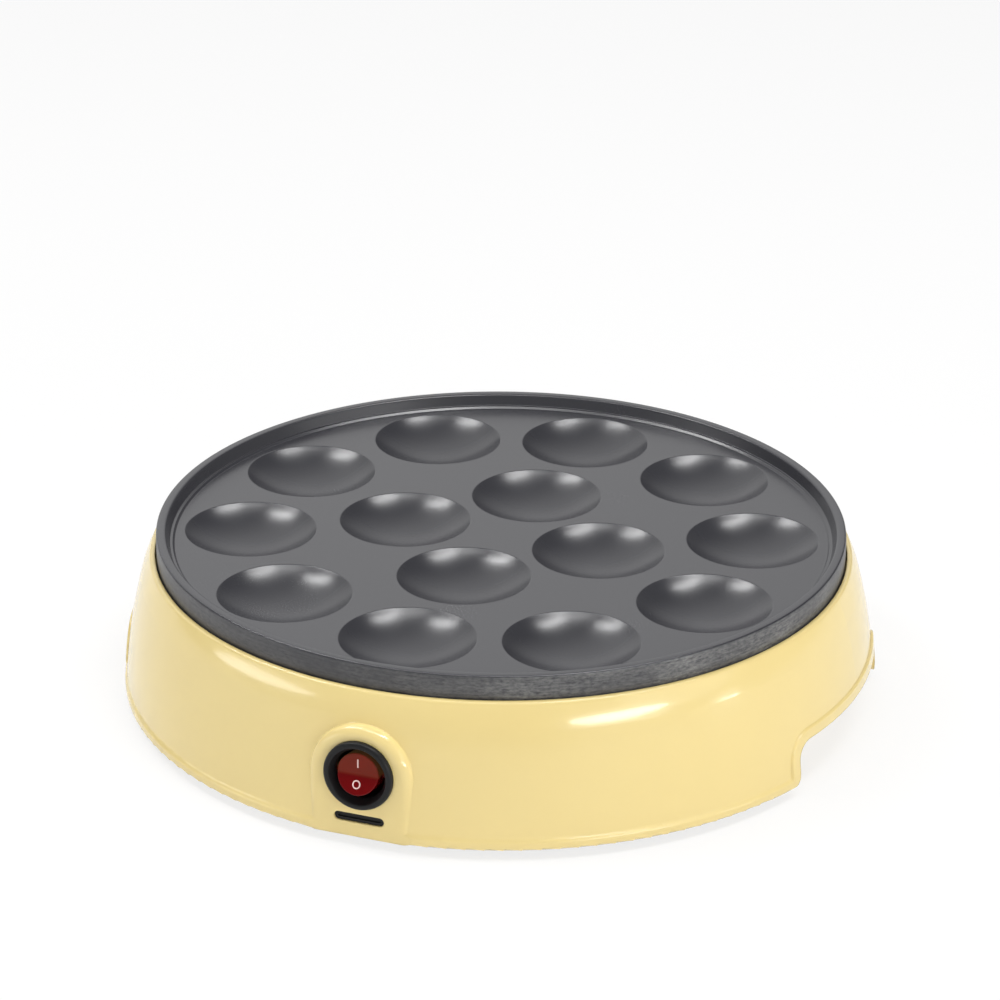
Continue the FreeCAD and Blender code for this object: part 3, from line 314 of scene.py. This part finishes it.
finishes = {
    "creamGloss": creamGloss(),
    "nonStick": nonStick(),
    "coverPlastic": blackMoulding("coverPlastic", 0.55, 1800.0, 0.00006),
    "switchBlack": blackMoulding("switchBlack", 0.34, 900.0, 0.00001, 0.2),
    "glandBlack": blackMoulding("glandBlack", 0.45, 1500.0, 0.00004),
    "footRubber": rubberGrip(),
    "rockerRed": paintedHazeRed(),
    "markPrint": paleMark(),
    "sheetSteel": metal("sheetSteel", shade(186, 187, 188), 0.36, (1.0, 14.0, 1.0)),
    "screwSteel": metal("screwSteel", shade(198, 198, 200), 0.28, (1.0, 1.0, 6.0)),
    "heaterSteel": metal("heaterSteel", shade(112, 106, 100), 0.46),
    "contactBrass": metal("contactBrass", shade(214, 176, 96), 0.3, (8.0, 1.0, 1.0)),
    "fuseMetal": metal("fuseMetal", shade(190, 190, 186), 0.34),
    "ceramic": moulded("ceramic", shade(238, 234, 222), 0.5, 1600.0, 0.00005),
    "thermostatCase": moulded("thermostatCase", shade(222, 214, 196), 0.45),
    "blockPlastic": moulded("blockPlastic", shade(228, 226, 216), 0.42, 700.0),
    "glassSleeve": wovenSleeve(),
    "lampGlass": lampGlow(),
    "brownLead": moulded("brownLead", shade(96, 58, 36), 0.4, 800.0, 0.00002),
    "blackLead": moulded("blackLead", shade(24, 24, 25), 0.4, 800.0, 0.00002),
    "blueLead": moulded("blueLead", shade(38, 82, 158), 0.4, 800.0, 0.00002),
    "whiteLead": moulded("whiteLead", shade(228, 226, 220), 0.4, 800.0, 0.00002),
    "greenLead": moulded("greenLead", shade(92, 150, 52), 0.4, 800.0, 0.00002),
}
slotFinish = {
    "cream_shell": "creamGloss", "dark_coat": "nonStick", "cover_plastic": "coverPlastic",
    "foot_rubber": "footRubber", "screw_steel": "screwSteel", "element_steel": "heaterSteel",
    "bead_ceramic": "ceramic", "sheet_steel": "sheetSteel", "thermostat_case": "thermostatCase",
    "fuse_metal": "fuseMetal", "sleeve_fibre": "glassSleeve", "block_plastic": "blockPlastic",
    "contact_brass": "contactBrass", "gland_plastic": "glandBlack", "switch_black": "switchBlack",
    "rocker_red": "rockerRed", "lamp_glass": "lampGlass", "lead_brown": "brownLead",
    "lead_black": "blackLead", "lead_blue": "blueLead", "lead_white": "whiteLead", "lead_green": "greenLead",
}
for part in frame["record"]["subparts"]:
    mesh = frame["nodes"][part["node"]].data
    mesh.materials.clear()
    mesh.materials.append(finishes[slotFinish[part["material_slot"]]])
print("finishes made:", len(finishes))


def roundedProfile(corners, steps=5):  # corners (a, b) or (a, b, radius), in millimetres
    points = []
    for i, corner in enumerate(corners):
        here = Vector(corner[:2])
        if len(corner) == 2:
            points.append(here)
            continue
        back = (Vector(corners[i - 1][:2]) - here).normalized()
        on = (Vector(corners[(i + 1) % len(corners)][:2]) - here).normalized()
        half = back.angle(on) / 2
        middle = here + (back + on).normalized() * (corner[2] / math.sin(half))
        first = here + back * (corner[2] / math.tan(half)) - middle
        last = here + on * (corner[2] / math.tan(half)) - middle
        sweep = first.angle_signed(last)
        for step in range(steps + 1):
            turn = Matrix.Rotation(-sweep * step / steps, 2)
            points.append(middle + turn @ first)
    return points


def ringOf(bm, count, radius, heightAt):  # points round Z, in millimetres; one point at radius 0
    if radius < 1e-6:
        return [bm.verts.new((0, 0, heightAt(0, 0) * mm))] * count
    ring = []
    for i in range(count):
        turn = 2 * math.pi * i / count
        x, y = radius * math.cos(turn), radius * math.sin(turn)
        ring.append(bm.verts.new((x * mm, y * mm, heightAt(x, y) * mm)))
    return ring


def bridge(bm, rings, closed):  # faces from each ring to the next, triangles where one is a point
    for low, high in zip(rings, rings[1:] + rings[:1] if closed else rings[1:]):
        for i in range(len(low)):
            on = (i + 1) % len(low)
            corners = list(dict.fromkeys((low[i], low[on], high[on], high[i])))
            if len(corners) > 2:
                bm.faces.new(corners)


def lathe(name, points, count, closed):  # profile points (radius, height) in millimetres, turned round Z
    bm = bmesh.new()
    rings = []
    for point in points:
        rings.append(ringOf(bm, count, point[0], lambda x, y: point[1]))
    bridge(bm, rings, closed)
    bmesh.ops.recalc_face_normals(bm, faces=bm.faces)
    return meshObject(name, bm)


def meshObject(name, bm):
    mesh = bpy.data.meshes.new(name)
    bm.to_mesh(mesh)
    bm.free()
    made = bpy.data.objects.new(name, mesh)
    bpy.context.scene.collection.objects.link(made)
    return made


def joined(name, pieces):  # one object from several, which are removed
    bm = bmesh.new()
    for piece in pieces:
        bm.from_mesh(piece.data)
        bpy.data.objects.remove(piece)
    return meshObject(name, bm)


def finished(made, finish, body, smoothAngle=35.0):
    made.data.materials.clear()
    made.data.materials.append(finishes[finish])
    made.data.shade_smooth()
    made.data.set_sharp_from_angle(angle=math.radians(smoothAngle))
    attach(made, body)
    return made


def baked(made, mergeBelow):  # the modifiers' result as a plain mesh, doubles merged, faces outwards
    shaped = bpy.data.meshes.new_from_object(made.evaluated_get(bpy.context.evaluated_depsgraph_get()))
    made.modifiers.clear()
    bm = bmesh.new()
    bm.from_mesh(shaped)
    bmesh.ops.remove_doubles(bm, verts=bm.verts, dist=mergeBelow)
    bmesh.ops.recalc_face_normals(bm, faces=bm.faces)
    bm.to_mesh(made.data)
    bm.free()
    bpy.data.meshes.remove(shaped)
    return made


def treeInputs(tree, names):
    for name, kind in names:
        tree.interface.new_socket(name, in_out="INPUT", socket_type=kind)
    tree.interface.new_socket("Geometry", in_out="OUTPUT", socket_type="NodeSocketGeometry")


def withTree(made, tree, values):
    modifier = made.modifiers.new(tree.name, "NODES")
    modifier.node_group = tree
    for item in tree.interface.items_tree:
        if item.in_out == "INPUT" and item.name in values:
            modifier[item.identifier] = values[item.name]
    return made


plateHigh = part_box("baking_plate")[1]
plate = {  # millimetres; what ends in Down is measured down from the top of the rim
    "radius": plateHigh.x / mm,
    "rimTop": plateHigh.z / mm,
    "rimHeight": 4.5,
    "rimWidth": 3.2,
    "rimLean": 1.3,
    "rimRounds": (1.1, 0.8),  # inside and outside of its top
    "stepWidth": 0.9,
    "stepHeight": 0.7,
    "stepRounds": (0.3, 0.25, 0.35),
    "floorThickness": 4.0,
    "skirt": 3.5,
    "skirtRounds": (0.2, 0.2, 1.2),
    "band": 0.6,  # narrow flat bands where the turned edge meets the floor's two sheets
    "seatDown": 14.0,
    "wellRadius": 22.1,
    "wellDepth": 8.5,
    "wellWall": 3.0,
    "wellRound": 0.6,
    "innerWells": 4,
    "outerWells": 10,
    "innerLand": 4.6,  # floor between neighbours in the inner ring of wells
    "ringLand": 5.3,  # floor between the two rings
    "heaterTube": 3.35,
    "heaterSide": 5.0,
    "heaterDown": 13.3,
    "middleDown": 13.0,
    "middleRadius": 8.2,
    "strapOut": 12.7,  # from the heater's ring out to the screws of its straps
    "clampIn": 15.0,  # from the plate's edge in to the screws of its clamps
    "earRing": 11.9,  # the thermostat's screws
    "bosses": [  # ring, radius, foot below the rim's top, angles
        ("strap", 4.2, 16.55, (36, 144, 216, 324)), ("clamp", 5.0, 16.0, (36, 144, 216, 324)),
        ("clamp", 4.2, 14.0, (72,)), ("ear", 3.2, 15.6, (45, 225)),
    ],
    "screwHole": 2.05,
    "holeDepth": 5.0,
    "rootBite": 0.5,  # how far the bosses reach into the floor
    "edgeSteps": 240,
    "ribSteps": 160,
    "grooveSteps": 12,
    "wellSteps": 96,
    "bowlSteps": 22,
    "domeSteps": 10,
    "mergeBelow": 0.00002,
}
innerRing = (plate["wellRadius"] + plate["innerLand"] / 2) / math.sin(math.pi / plate["innerWells"])
outerRing = innerRing + 2 * plate["wellRadius"] + plate["ringLand"]
heaterRing = (innerRing + outerRing) / 2
bossRings = {
    "strap": heaterRing + plate["strapOut"], "clamp": plate["radius"] - plate["clampIn"],
    "ear": plate["earRing"],
}


def rimProfile():
    floor = plate["rimTop"] - plate["rimHeight"]
    under = floor - plate["floorThickness"]
    wallHead = plate["radius"] - plate["rimWidth"]
    wallFoot = wallHead - plate["rimLean"]
    step = wallFoot - plate["stepWidth"]
    outside = plate["radius"]
    inside = outside - plate["skirt"]
    seat = plate["rimTop"] - plate["seatDown"]
    stepFoot, band = step - plate["stepHeight"], plate["band"]
    low, high, corner = plate["stepRounds"]
    within, without = plate["rimRounds"]
    heel, toe, root = plate["skirtRounds"]
    return roundedProfile([
        (stepFoot - 2 * band, floor),
        (stepFoot - band, floor),
        (stepFoot, floor, low),
        (step, floor + plate["stepHeight"], high),
        (wallFoot, floor + plate["stepHeight"], corner),
        (wallHead, plate["rimTop"], within),
        (outside, plate["rimTop"], without),
        (outside, seat, heel),
        (inside, seat, toe),
        (inside, under, root),
        (inside - 4 * band, under),
        (inside - 5 * band, under),
    ])


# A well's wall, from a flat band at its edge down to the axis. Grow widens its ball, and level is
# the height of the sheet that it hangs from, above the floor.
def ballProfile(grow, level, edgeRound, steps):
    lip = 0.4  # width of that band's two parts
    depth = plate["wellDepth"]
    ball = (plate["wellRadius"] ** 2 + depth ** 2) / (2 * depth)
    rise = ball - depth - level  # from the edge's plane up to the ball's centre
    size = ball + grow
    if not edgeRound:
        openAt = math.sqrt(size ** 2 - rise ** 2)
        points = [(openAt + 2 * lip, 0), (openAt + lip, 0)]
        start = math.asin(openAt / size)
    else:
        across = math.sqrt((size + edgeRound) ** 2 - (rise + edgeRound) ** 2)
        points = [(across + 2 * lip, 0), (across + lip, 0)]
        start = math.asin(across / (size + edgeRound))
        roundSteps = 6
        for i in range(roundSteps):
            turn = start * i / roundSteps
            points.append((across - edgeRound * math.sin(turn), -edgeRound * (1 - math.cos(turn))))
    for i in range(steps + 1):
        turn = start * (1 - i / steps)
        points.append((size * math.sin(turn), rise - size * math.cos(turn)))
    return points


def plateTree():
    tree = bpy.data.node_groups.new("plateTree", "GeometryNodeTree")
    number, whole, thing = "NodeSocketFloat", "NodeSocketInt", "NodeSocketObject"
    treeInputs(tree, [
        ("Outer Ring", number), ("Outer Wells", whole), ("Inner Ring", number), ("Inner Wells", whole),
        ("Floor Edge", number), ("Well Edge", number), ("Edge Steps", whole), ("Well Steps", whole),
        ("Level", number), ("Well", thing), ("Finish", "NodeSocketMaterial"),
    ])
    board = Board(tree)
    given = board.node("NodeGroupInput").outputs
    quarter = math.radians(-90)
    rings = []
    for count, radius in (("Outer Wells", "Outer Ring"), ("Inner Wells", "Inner Ring")):
        ring = board.node("GeometryNodeMeshCircle", {}, {"Vertices": given[count], "Radius": given[radius]})
        moves = {"Geometry": ring.outputs[0], "Rotation": (0, 0, quarter)}
        rings.append(board.node("GeometryNodeTransform", {}, moves).outputs[0])
    centres = board.node("GeometryNodeJoinGeometry", {}, {0: rings}).outputs[0]
    well = board.node("GeometryNodeObjectInfo", {}, {"Object": given["Well"]}).outputs["Geometry"]
    wells = board.node("GeometryNodeInstanceOnPoints", {}, {"Points": centres, "Instance": well}).outputs[0]
    holeInputs = {"Resolution": given["Well Steps"], "Radius": given["Well Edge"]}
    hole = board.node("GeometryNodeCurvePrimitiveCircle", {}, holeInputs).outputs[0]
    holes = board.node("GeometryNodeInstanceOnPoints", {}, {"Points": centres, "Instance": hole}).outputs[0]
    cut = board.node("GeometryNodeRealizeInstances", {}, {0: holes}).outputs[0]
    edgeInputs = {"Resolution": given["Edge Steps"], "Radius": given["Floor Edge"]}
    edge = board.node("GeometryNodeCurvePrimitiveCircle", {}, edgeInputs).outputs[0]
    outline = board.node("GeometryNodeJoinGeometry", {}, {0: [edge, cut]}).outputs[0]
    floor = board.node("GeometryNodeFillCurve", {}, {0: outline}).outputs[0]
    sheet = board.node("GeometryNodeJoinGeometry", {}, {0: [floor, wells]}).outputs[0]
    height = board.node("ShaderNodeCombineXYZ", {}, {"Z": given["Level"]}).outputs[0]
    lifted = board.node("GeometryNodeTransform", {}, {"Geometry": sheet, "Translation": height}).outputs[0]
    solid = board.node("GeometryNodeRealizeInstances", {}, {0: lifted}).outputs[0]
    board.close(solid, given["Finish"])
    return tree


def wellSheet(name, tree, shape, floorEdge, wellEdge, level):
    values = {
        "Outer Ring": outerRing * mm, "Outer Wells": plate["outerWells"],
        "Inner Ring": innerRing * mm, "Inner Wells": plate["innerWells"],
        "Floor Edge": floorEdge * mm, "Well Edge": wellEdge * mm,
        "Edge Steps": plate["edgeSteps"], "Well Steps": plate["wellSteps"],
        "Level": level * mm, "Well": shape, "Finish": finishes["nonStick"],
    }
    sheet = meshObject(name, bmesh.new())
    return baked(withTree(sheet, tree, values), plate["mergeBelow"])


def underRibs():  # what stands on the plate's underside: the heater's seat, bosses and the thermostat's seat
    top = plate["rimTop"]
    root = top - plate["rimHeight"] - plate["floorThickness"] + plate["rootBite"]
    tube, side, level = plate["heaterTube"], plate["heaterSide"], top - plate["heaterDown"]
    near, far = heaterRing - side, heaterRing + side
    arc = [math.pi * i / plate["grooveSteps"] for i in range(plate["grooveSteps"] + 1)]
    groove = [(heaterRing - tube * math.cos(turn), level + tube * math.sin(turn)) for turn in arc]
    seat = [(near, root), (near, level)] + groove + [(far, level), (far, root)]
    ribs = [lathe("heaterSeat", seat, plate["ribSteps"], True)]
    wide, foot = plate["middleRadius"], top - plate["middleDown"]
    ribs.append(lathe("middleSeat", [(0, root), (wide, root), (wide, foot), (0, foot)], 64, False))
    hole = plate["screwHole"]
    for ringName, radius, down, angles in plate["bosses"]:
        foot = top - down
        for angle in angles:
            end = foot + plate["holeDepth"]
            corners = [(0, root), (radius, root), (radius, foot), (hole, foot), (hole, end), (0, end)]
            boss = lathe("boss", corners, 32, False)
            turn = math.radians(angle)
            place = Vector((math.cos(turn), math.sin(turn), 0)) * bossRings[ringName] * mm
            boss.data.transform(Matrix.Translation(place))
            ribs.append(boss)
    return ribs


def makePlate():
    rim = rimProfile()
    floor = plate["rimTop"] - plate["rimHeight"]
    under = floor - plate["floorThickness"]
    tree = plateTree()
    bowl = ballProfile(0, 0, plate["wellRound"], plate["bowlSteps"])
    dome = ballProfile(plate["wellWall"], -plate["floorThickness"], 0, plate["domeSteps"])
    drawn = (("wellShape", bowl), ("domeShape", dome))
    shapes = [lathe(name, points, plate["wellSteps"], False) for name, points in drawn]
    top = wellSheet("plateTop", tree, shapes[0], rim[0][0], bowl[0][0], floor)
    bottom = wellSheet("plateBottom", tree, shapes[1], rim[-1][0], dome[0][0], under)
    for shape in shapes:
        bpy.data.objects.remove(shape)
    edge = lathe("plateEdge", rim, plate["edgeSteps"], False)
    made = baked(joined("bakingPlate", [top, bottom, edge]), plate["mergeBelow"])
    made = joined("bakingPlate", [made] + underRibs())
    finished(made, "nonStick", "cooker", 40.0)
    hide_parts("baking_plate")
    print("baking plate:", len(made.data.polygons), "faces")


makePlate()


switch = {  # millimetres and degrees, along the switch's own axis, which leans with its pad
    "tilt": 1.6,
    "rockerRadius": 6.9,
    "halfThrow": 10.5,
    "valley": 4.6,
    "valleyRound": 0.5,
    "valleyLift": 0.6,
    "wall": 1.3,
    "skirt": 5.0,
    "shoulder": 0.5,
    "draft": 0.4,
    "edge": 0.45,
    "faceRings": 16,
    "faceShare": 0.94,  # part of the radius that these rings fill
    "edgeRings": 8,
    "steps": 96,
    "stem": (1.4, 2.2, -3.0),  # bore, radius and foot of the plunger's guide
    "pinFrom": 6.3,
    "pinTo": 9.0,
    "pinRadius": 1.3,
    "pinRound": 0.2,
    "markGap": 3.4,
    "markHeight": 2.8,
    "markStroke": 0.42,
    "markSquash": 0.96,
    "markLift": 0.04,
}


def alongSwitch(made, turn):  # from height along Z to the switch's own axis, turned on by the rocker's tilt
    middle = Matrix.Translation(Vector(hinge["pos_m"]))
    lean = Matrix.Rotation(math.radians(-switch["tilt"] - turn), 4, "X")
    made.data.transform(middle @ lean @ Matrix.Rotation(math.radians(90), 4, "X"))
    return made


def capHeight(x, y):  # the rocker's face above its pivot, in millimetres
    slope = math.tan(math.radians(switch["halfThrow"]))
    softened = math.hypot(y, switch["valleyRound"]) - switch["valleyRound"] * switch["valleyLift"]
    height = switch["valley"] + slope * softened
    edge = switch["edge"]
    over = math.hypot(x, y) - (switch["rockerRadius"] - edge)
    if over > 0:
        height -= edge - math.sqrt(max(edge * edge - over * over, 0))
    return height


def makeRocker():
    radius, edge, count, rise = switch["rockerRadius"], switch["edge"], switch["steps"], switch["faceRings"]
    radii = [radius * switch["faceShare"] * i / rise for i in range(rise + 1)]
    turns = [math.pi / 2 * i / switch["edgeRings"] for i in range(1, switch["edgeRings"] + 1)]
    rounded = [radius - edge + edge * math.sin(turn) for turn in turns]
    radii += [r for r in rounded if r > radii[-1]]
    bore, roof, skirt = radius - switch["wall"], switch["valley"] - switch["wall"], switch["skirt"]
    bm = bmesh.new()
    rings = [ringOf(bm, count, r, capHeight) for r in radii]
    shoulder, draft = switch["shoulder"], switch["draft"]
    for r, z in ((radius, shoulder), (radius - draft, -skirt), (bore, -skirt), (bore, roof), (0, roof)):
        rings.append(ringOf(bm, count, r, lambda x, y: z))
    bridge(bm, rings, False)
    bmesh.ops.recalc_face_normals(bm, faces=bm.faces)
    stemBore, stemRadius, stemFoot = switch["stem"]
    top = roof + 0.1  # a little into the cap
    guide = [(stemBore, top), (stemRadius, top), (stemRadius, stemFoot), (stemBore, stemFoot)]
    pieces = [meshObject("rockerShape", bm), lathe("stemShape", guide, 32, True)]
    thick, near, far = switch["pinRadius"], switch["pinFrom"], switch["pinTo"]
    for side in (1, -1):
        ends = roundedProfile([(0, near), (thick, near), (thick, far, switch["pinRound"]), (0, far)])
        pin = lathe("pinShape", ends, 32, False)
        pin.data.transform(Matrix.Rotation(math.radians(90 * side), 4, "Y"))
        pieces.append(pin)
    made = alongSwitch(joined("rockerCap", pieces), switch["halfThrow"])
    finished(made, "rockerRed", "rocker", 30.0)
    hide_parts("rocker")


def markRound(bm, inner, outer, centre):  # a flat closed ring that lies on the rocker's face
    count, squash = 48, switch["markSquash"]
    rings = []
    for radius, lift in ((inner, 0.0), (inner, switch["markLift"]), (outer, switch["markLift"]), (outer, 0.0)):
        ring = []
        for i in range(count):
            turn = 2 * math.pi * i / count
            x, y = radius * squash * math.cos(turn), centre + radius * math.sin(turn)
            ring.append(bm.verts.new((x * mm, y * mm, (capHeight(x, y) + lift) * mm)))
        rings.append(ring)
    bridge(bm, rings, True)


def markBar(bm, centre):
    high, wide = switch["markHeight"] / 2, switch["markStroke"] / 2
    layers = []
    for lift in (0.0, switch["markLift"]):
        corners = [(wide * a, centre + high * b) for a, b in ((-1, -1), (1, -1), (1, 1), (-1, 1))]
        layers.append([bm.verts.new((x * mm, y * mm, (capHeight(x, y) + lift) * mm)) for x, y in corners])
    bm.faces.new(layers[1])
    bm.faces.new(layers[0][::-1])
    bridge(bm, layers, False)


def makeMarks():
    bm = bmesh.new()
    markBar(bm, switch["markGap"])
    half = switch["markHeight"] / 2
    markRound(bm, half - switch["markStroke"], half, -switch["markGap"])
    bmesh.ops.recalc_face_normals(bm, faces=bm.faces)
    made = alongSwitch(meshObject("rockerMarks", bm), switch["halfThrow"])
    finished(made, "markPrint", "rocker", 30.0)
    print("switch: cap and marks")


makeRocker()
makeMarks()


screws = {  # the foot screws, seen from below, in millimetres
    "count": 4,
    "plateIn": 1.5,  # from the plate's edge in to their ring
    "firstAngle": 45,
    "headRadius": 3.8,
    "headHeight": 2.0,
    "headRound": 0.9,
    "shank": 1.95,
    "length": 15.0,
    "tip": 1.5,
    "recess": 2.1,
    "recessDepth": 1.0,
    "slotWidth": 0.75,
    "turnSeed": 7,
    "turnMost": 1.5,
}


def screwShape():  # a pan head with a cross recess, its underside at height 0 and its head below
    high, radius, shaft = screws["headHeight"], screws["headRadius"], screws["shank"]
    corners = [
        (0, -high), (radius, -high, screws["headRound"]), (radius, 0), (shaft, 0),
        (shaft, screws["length"] - screws["tip"]), (0, screws["length"]),
    ]
    body = lathe("screwBody", roundedProfile(corners), 40, False)
    size = Vector((2 * screws["recess"], screws["slotWidth"], 2 * screws["recessDepth"])) * mm
    bar = Matrix.Translation((0, 0, -high * mm)) @ Matrix.Diagonal(size).to_4x4()
    cutters = []
    for turn in (0, 90):
        bm = bmesh.new()
        bmesh.ops.create_cube(bm, size=1.0)
        bm.transform(Matrix.Rotation(math.radians(turn), 4, "Z") @ bar)
        cutters.append(meshObject("recess", bm))
    for cutter in cutters:
        modifier = body.modifiers.new("recess", "BOOLEAN")
        modifier.object = cutter
        modifier.solver = "EXACT"
    baked(body, 0.00001)
    for cutter in cutters:
        bpy.data.objects.remove(cutter)
    return body


def screwTree():
    tree = bpy.data.node_groups.new("screwTree", "GeometryNodeTree")
    number, whole = "NodeSocketFloat", "NodeSocketInt"
    treeInputs(tree, [
        ("Count", whole), ("Ring", number), ("Level", number), ("Turn", number), ("Seed", whole),
        ("Screw", "NodeSocketObject"), ("Finish", "NodeSocketMaterial"),
    ])
    board = Board(tree)
    given = board.node("NodeGroupInput").outputs
    places = {"Vertices": given["Count"], "Radius": given["Ring"]}
    ring = board.node("GeometryNodeMeshCircle", {}, places).outputs[0]
    height = board.node("ShaderNodeCombineXYZ", {}, {"Z": given["Level"]}).outputs[0]
    moves = {"Geometry": ring, "Translation": height, "Rotation": (0, 0, math.radians(screws["firstAngle"]))}
    placed = board.node("GeometryNodeTransform", {}, moves).outputs[0]
    screw = board.node("GeometryNodeObjectInfo", {}, {"Object": given["Screw"]}).outputs["Geometry"]
    chance = {2: 0.0, 3: given["Turn"], "Seed": given["Seed"]}
    turns = board.node("FunctionNodeRandomValue", {"data_type": "FLOAT"}, chance).outputs[1]
    turned = board.node("ShaderNodeCombineXYZ", {}, {"Z": turns}).outputs[0]
    inputs = {"Points": placed, "Instance": screw, "Rotation": turned}
    copies = board.node("GeometryNodeInstanceOnPoints", {}, inputs).outputs[0]
    solid = board.node("GeometryNodeRealizeInstances", {}, {0: copies}).outputs[0]
    board.close(solid, given["Finish"])
    return tree


def makeFootScrews():
    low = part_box("foot_screws")[0]
    screw = screwShape()
    level = low.z + screws["headHeight"] * mm
    ring = plate["radius"] - screws["plateIn"]
    values = {
        "Count": screws["count"], "Ring": ring * mm, "Level": level,
        "Turn": screws["turnMost"], "Seed": screws["turnSeed"],
        "Screw": screw, "Finish": finishes["screwSteel"],
    }
    made = baked(withTree(meshObject("footScrews", bmesh.new()), screwTree(), values), 0.00001)
    bpy.data.objects.remove(screw)
    finished(made, "screwSteel", "cooker", 30.0)
    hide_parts("foot_screws")
    print("foot screws:", len(made.data.polygons), "faces")


makeFootScrews()


room = {
    "floor": 6.0, "floorShade": 0.97, "white": 1.0, "shadow": 0.2, "ambient": 0.52,
    "wallSpot": (-0.25, 0.74, 0.64),  # where the back wall is brightest
    "wallLevels": [(0.4, 0.42), (0.82, 0.16), (0.97, 1.15)],  # its level against nearness to that, 0 to 1
    "lampAim": 0.05,  # height that the lamps point at
}
# Ways are given as right, back and up, seen from the camera's side of the object.
lamps = [  # name, way to the lamp, way its long side lies, distance, size, power
    ("leftWindow", (-0.945, -0.255, 0.12), (0.25, -0.9, 0.15), 1.6, (1.1, 0.18), 2.5),
    ("frontCard", (0.57, -0.82, 0.15), (0.84, 0.54, 0.0), 1.6, (0.86, 0.16), 5.2),
    ("sideCard", (0.93, -0.37, 0.0), (0.37, 0.93, 0.0), 1.6, (0.26, 0.06), 0.6),
    ("rightFill", (0.78, -0.5, 0.36), (0.5, 0.78, 0.0), 1.8, (1.3, 1.0), 3.0),
    ("topRight", (0.33, -0.09, 0.94), (0.41, 0.35, -0.19), 1.5, (0.9, 0.12), 7.4),
    ("topLeft", (-0.54, 0.13, 0.83), (-0.41, 0.35, -0.19), 1.5, (0.85, 0.12), 7.3),
    ("topStrip", (0, -0.3, 0.95), (1, 0, 0), 1.4, (1.4, 0.3), 6.5),
]
shot = {
    "azimuth": 20.5, "elevation": 24.04, "distance": 1.3291, "roll": 0.3,
    "lens": 143.6, "sensor": 36.0, "clip": (0.05, 20.0), "aim": (-0.0004, -0.0002, 0.0664),
}


def rayMask(board):
    rays = board.node("ShaderNodeLightPath").outputs
    shown = [Signal(board, rays[name]) for name in ("Is Camera Ray", "Is Glossy Ray", "Is Transmission Ray")]
    return (shown[0] + shown[1] + shown[2]).held()


def makeFloor():
    bm = bmesh.new()
    bmesh.ops.create_grid(bm, x_segments=1, y_segments=1, size=room["floor"] / 2)
    floor = meshObject("paleFloor", bm)
    f = Finish("paleFloor", **{"Base Color": (room["floorShade"],) * 3 + (1,), "Roughness": 0.9})
    glow = f.node("ShaderNodeEmission", {}, {"Color": (1, 1, 1, 1), "Strength": room["white"]}).outputs[0]
    shown = rayMask(f) * (1 - room["shadow"])
    mixed = f.node("ShaderNodeMixShader", {}, {0: shown, 1: f.shader.outputs[0], 2: glow}).outputs[0]
    f.feed(f.tree.nodes["Material Output"].inputs["Surface"], mixed)
    floor.data.materials.append(f.material)


def makeWorld():
    world = bpy.data.worlds.new("studio")
    bpy.context.scene.world = world
    world.use_nodes = True
    board = Board(world.node_tree)
    background = world.node_tree.nodes["Background"]
    way = board.node("ShaderNodeTexCoord").outputs["Generated"]
    spot = Matrix.Rotation(math.radians(shot["azimuth"]), 3, "Z") @ Vector(room["wallSpot"]).normalized()
    near = board.node("ShaderNodeVectorMath", {"operation": "DOT_PRODUCT"}, {0: way, 1: spot}).outputs["Value"]
    nearness = 0.5 + 0.5 * Signal(board, near)
    level = board.node("ShaderNodeValToRGB", {"stops": room["wallLevels"]}, {0: nearness}).outputs[0]
    board.feed(background.inputs["Color"], (1, 1, 1, 1))
    seen = room["ambient"] + rayMask(board) * (room["white"] - room["ambient"])
    board.feed(background.inputs["Strength"], seen * Signal(board, level))


def makeLamps():
    turn = Matrix.Rotation(math.radians(shot["azimuth"]), 3, "Z")
    for name, way, along, distance, size, power in lamps:
        light = bpy.data.lights.new(name, "AREA")
        light.shape = "ELLIPSE"
        light.size, light.size_y = size
        light.energy = power
        lamp = bpy.data.objects.new(name, light)
        bpy.context.scene.collection.objects.link(lamp)
        out = turn @ Vector(way).normalized()
        side = turn @ Vector(along)
        side = (side - out * side.dot(out)).normalized()
        axes = Matrix((side, out.cross(side), out)).transposed().to_4x4()
        lamp.matrix_world = Matrix.Translation(Vector((0, 0, room["lampAim"])) + out * distance) @ axes


def makeCamera():
    turn, rise = math.radians(shot["azimuth"]), math.radians(shot["elevation"])
    back = Vector((math.sin(turn) * math.cos(rise), -math.cos(turn) * math.cos(rise), math.sin(rise)))
    right = Vector((math.cos(turn), math.sin(turn), 0))
    axes = Matrix((right, back.cross(right), back)).transposed().to_4x4()
    lens = bpy.data.cameras.new("photoView")
    lens.lens = shot["lens"]
    lens.sensor_width = shot["sensor"]
    lens.clip_start, lens.clip_end = shot["clip"]
    camera = bpy.data.objects.new("photoView", lens)
    bpy.context.scene.collection.objects.link(camera)
    place = Matrix.Translation(Vector(shot["aim"]) + back * shot["distance"])
    camera.matrix_world = place @ axes @ Matrix.Rotation(math.radians(shot["roll"]), 4, "Z")
    bpy.context.scene.camera = camera


makeFloor()
makeWorld()
makeLamps()
makeCamera()
bpy.context.scene.view_settings.view_transform = "Standard"
print("floor, lamps and camera set")
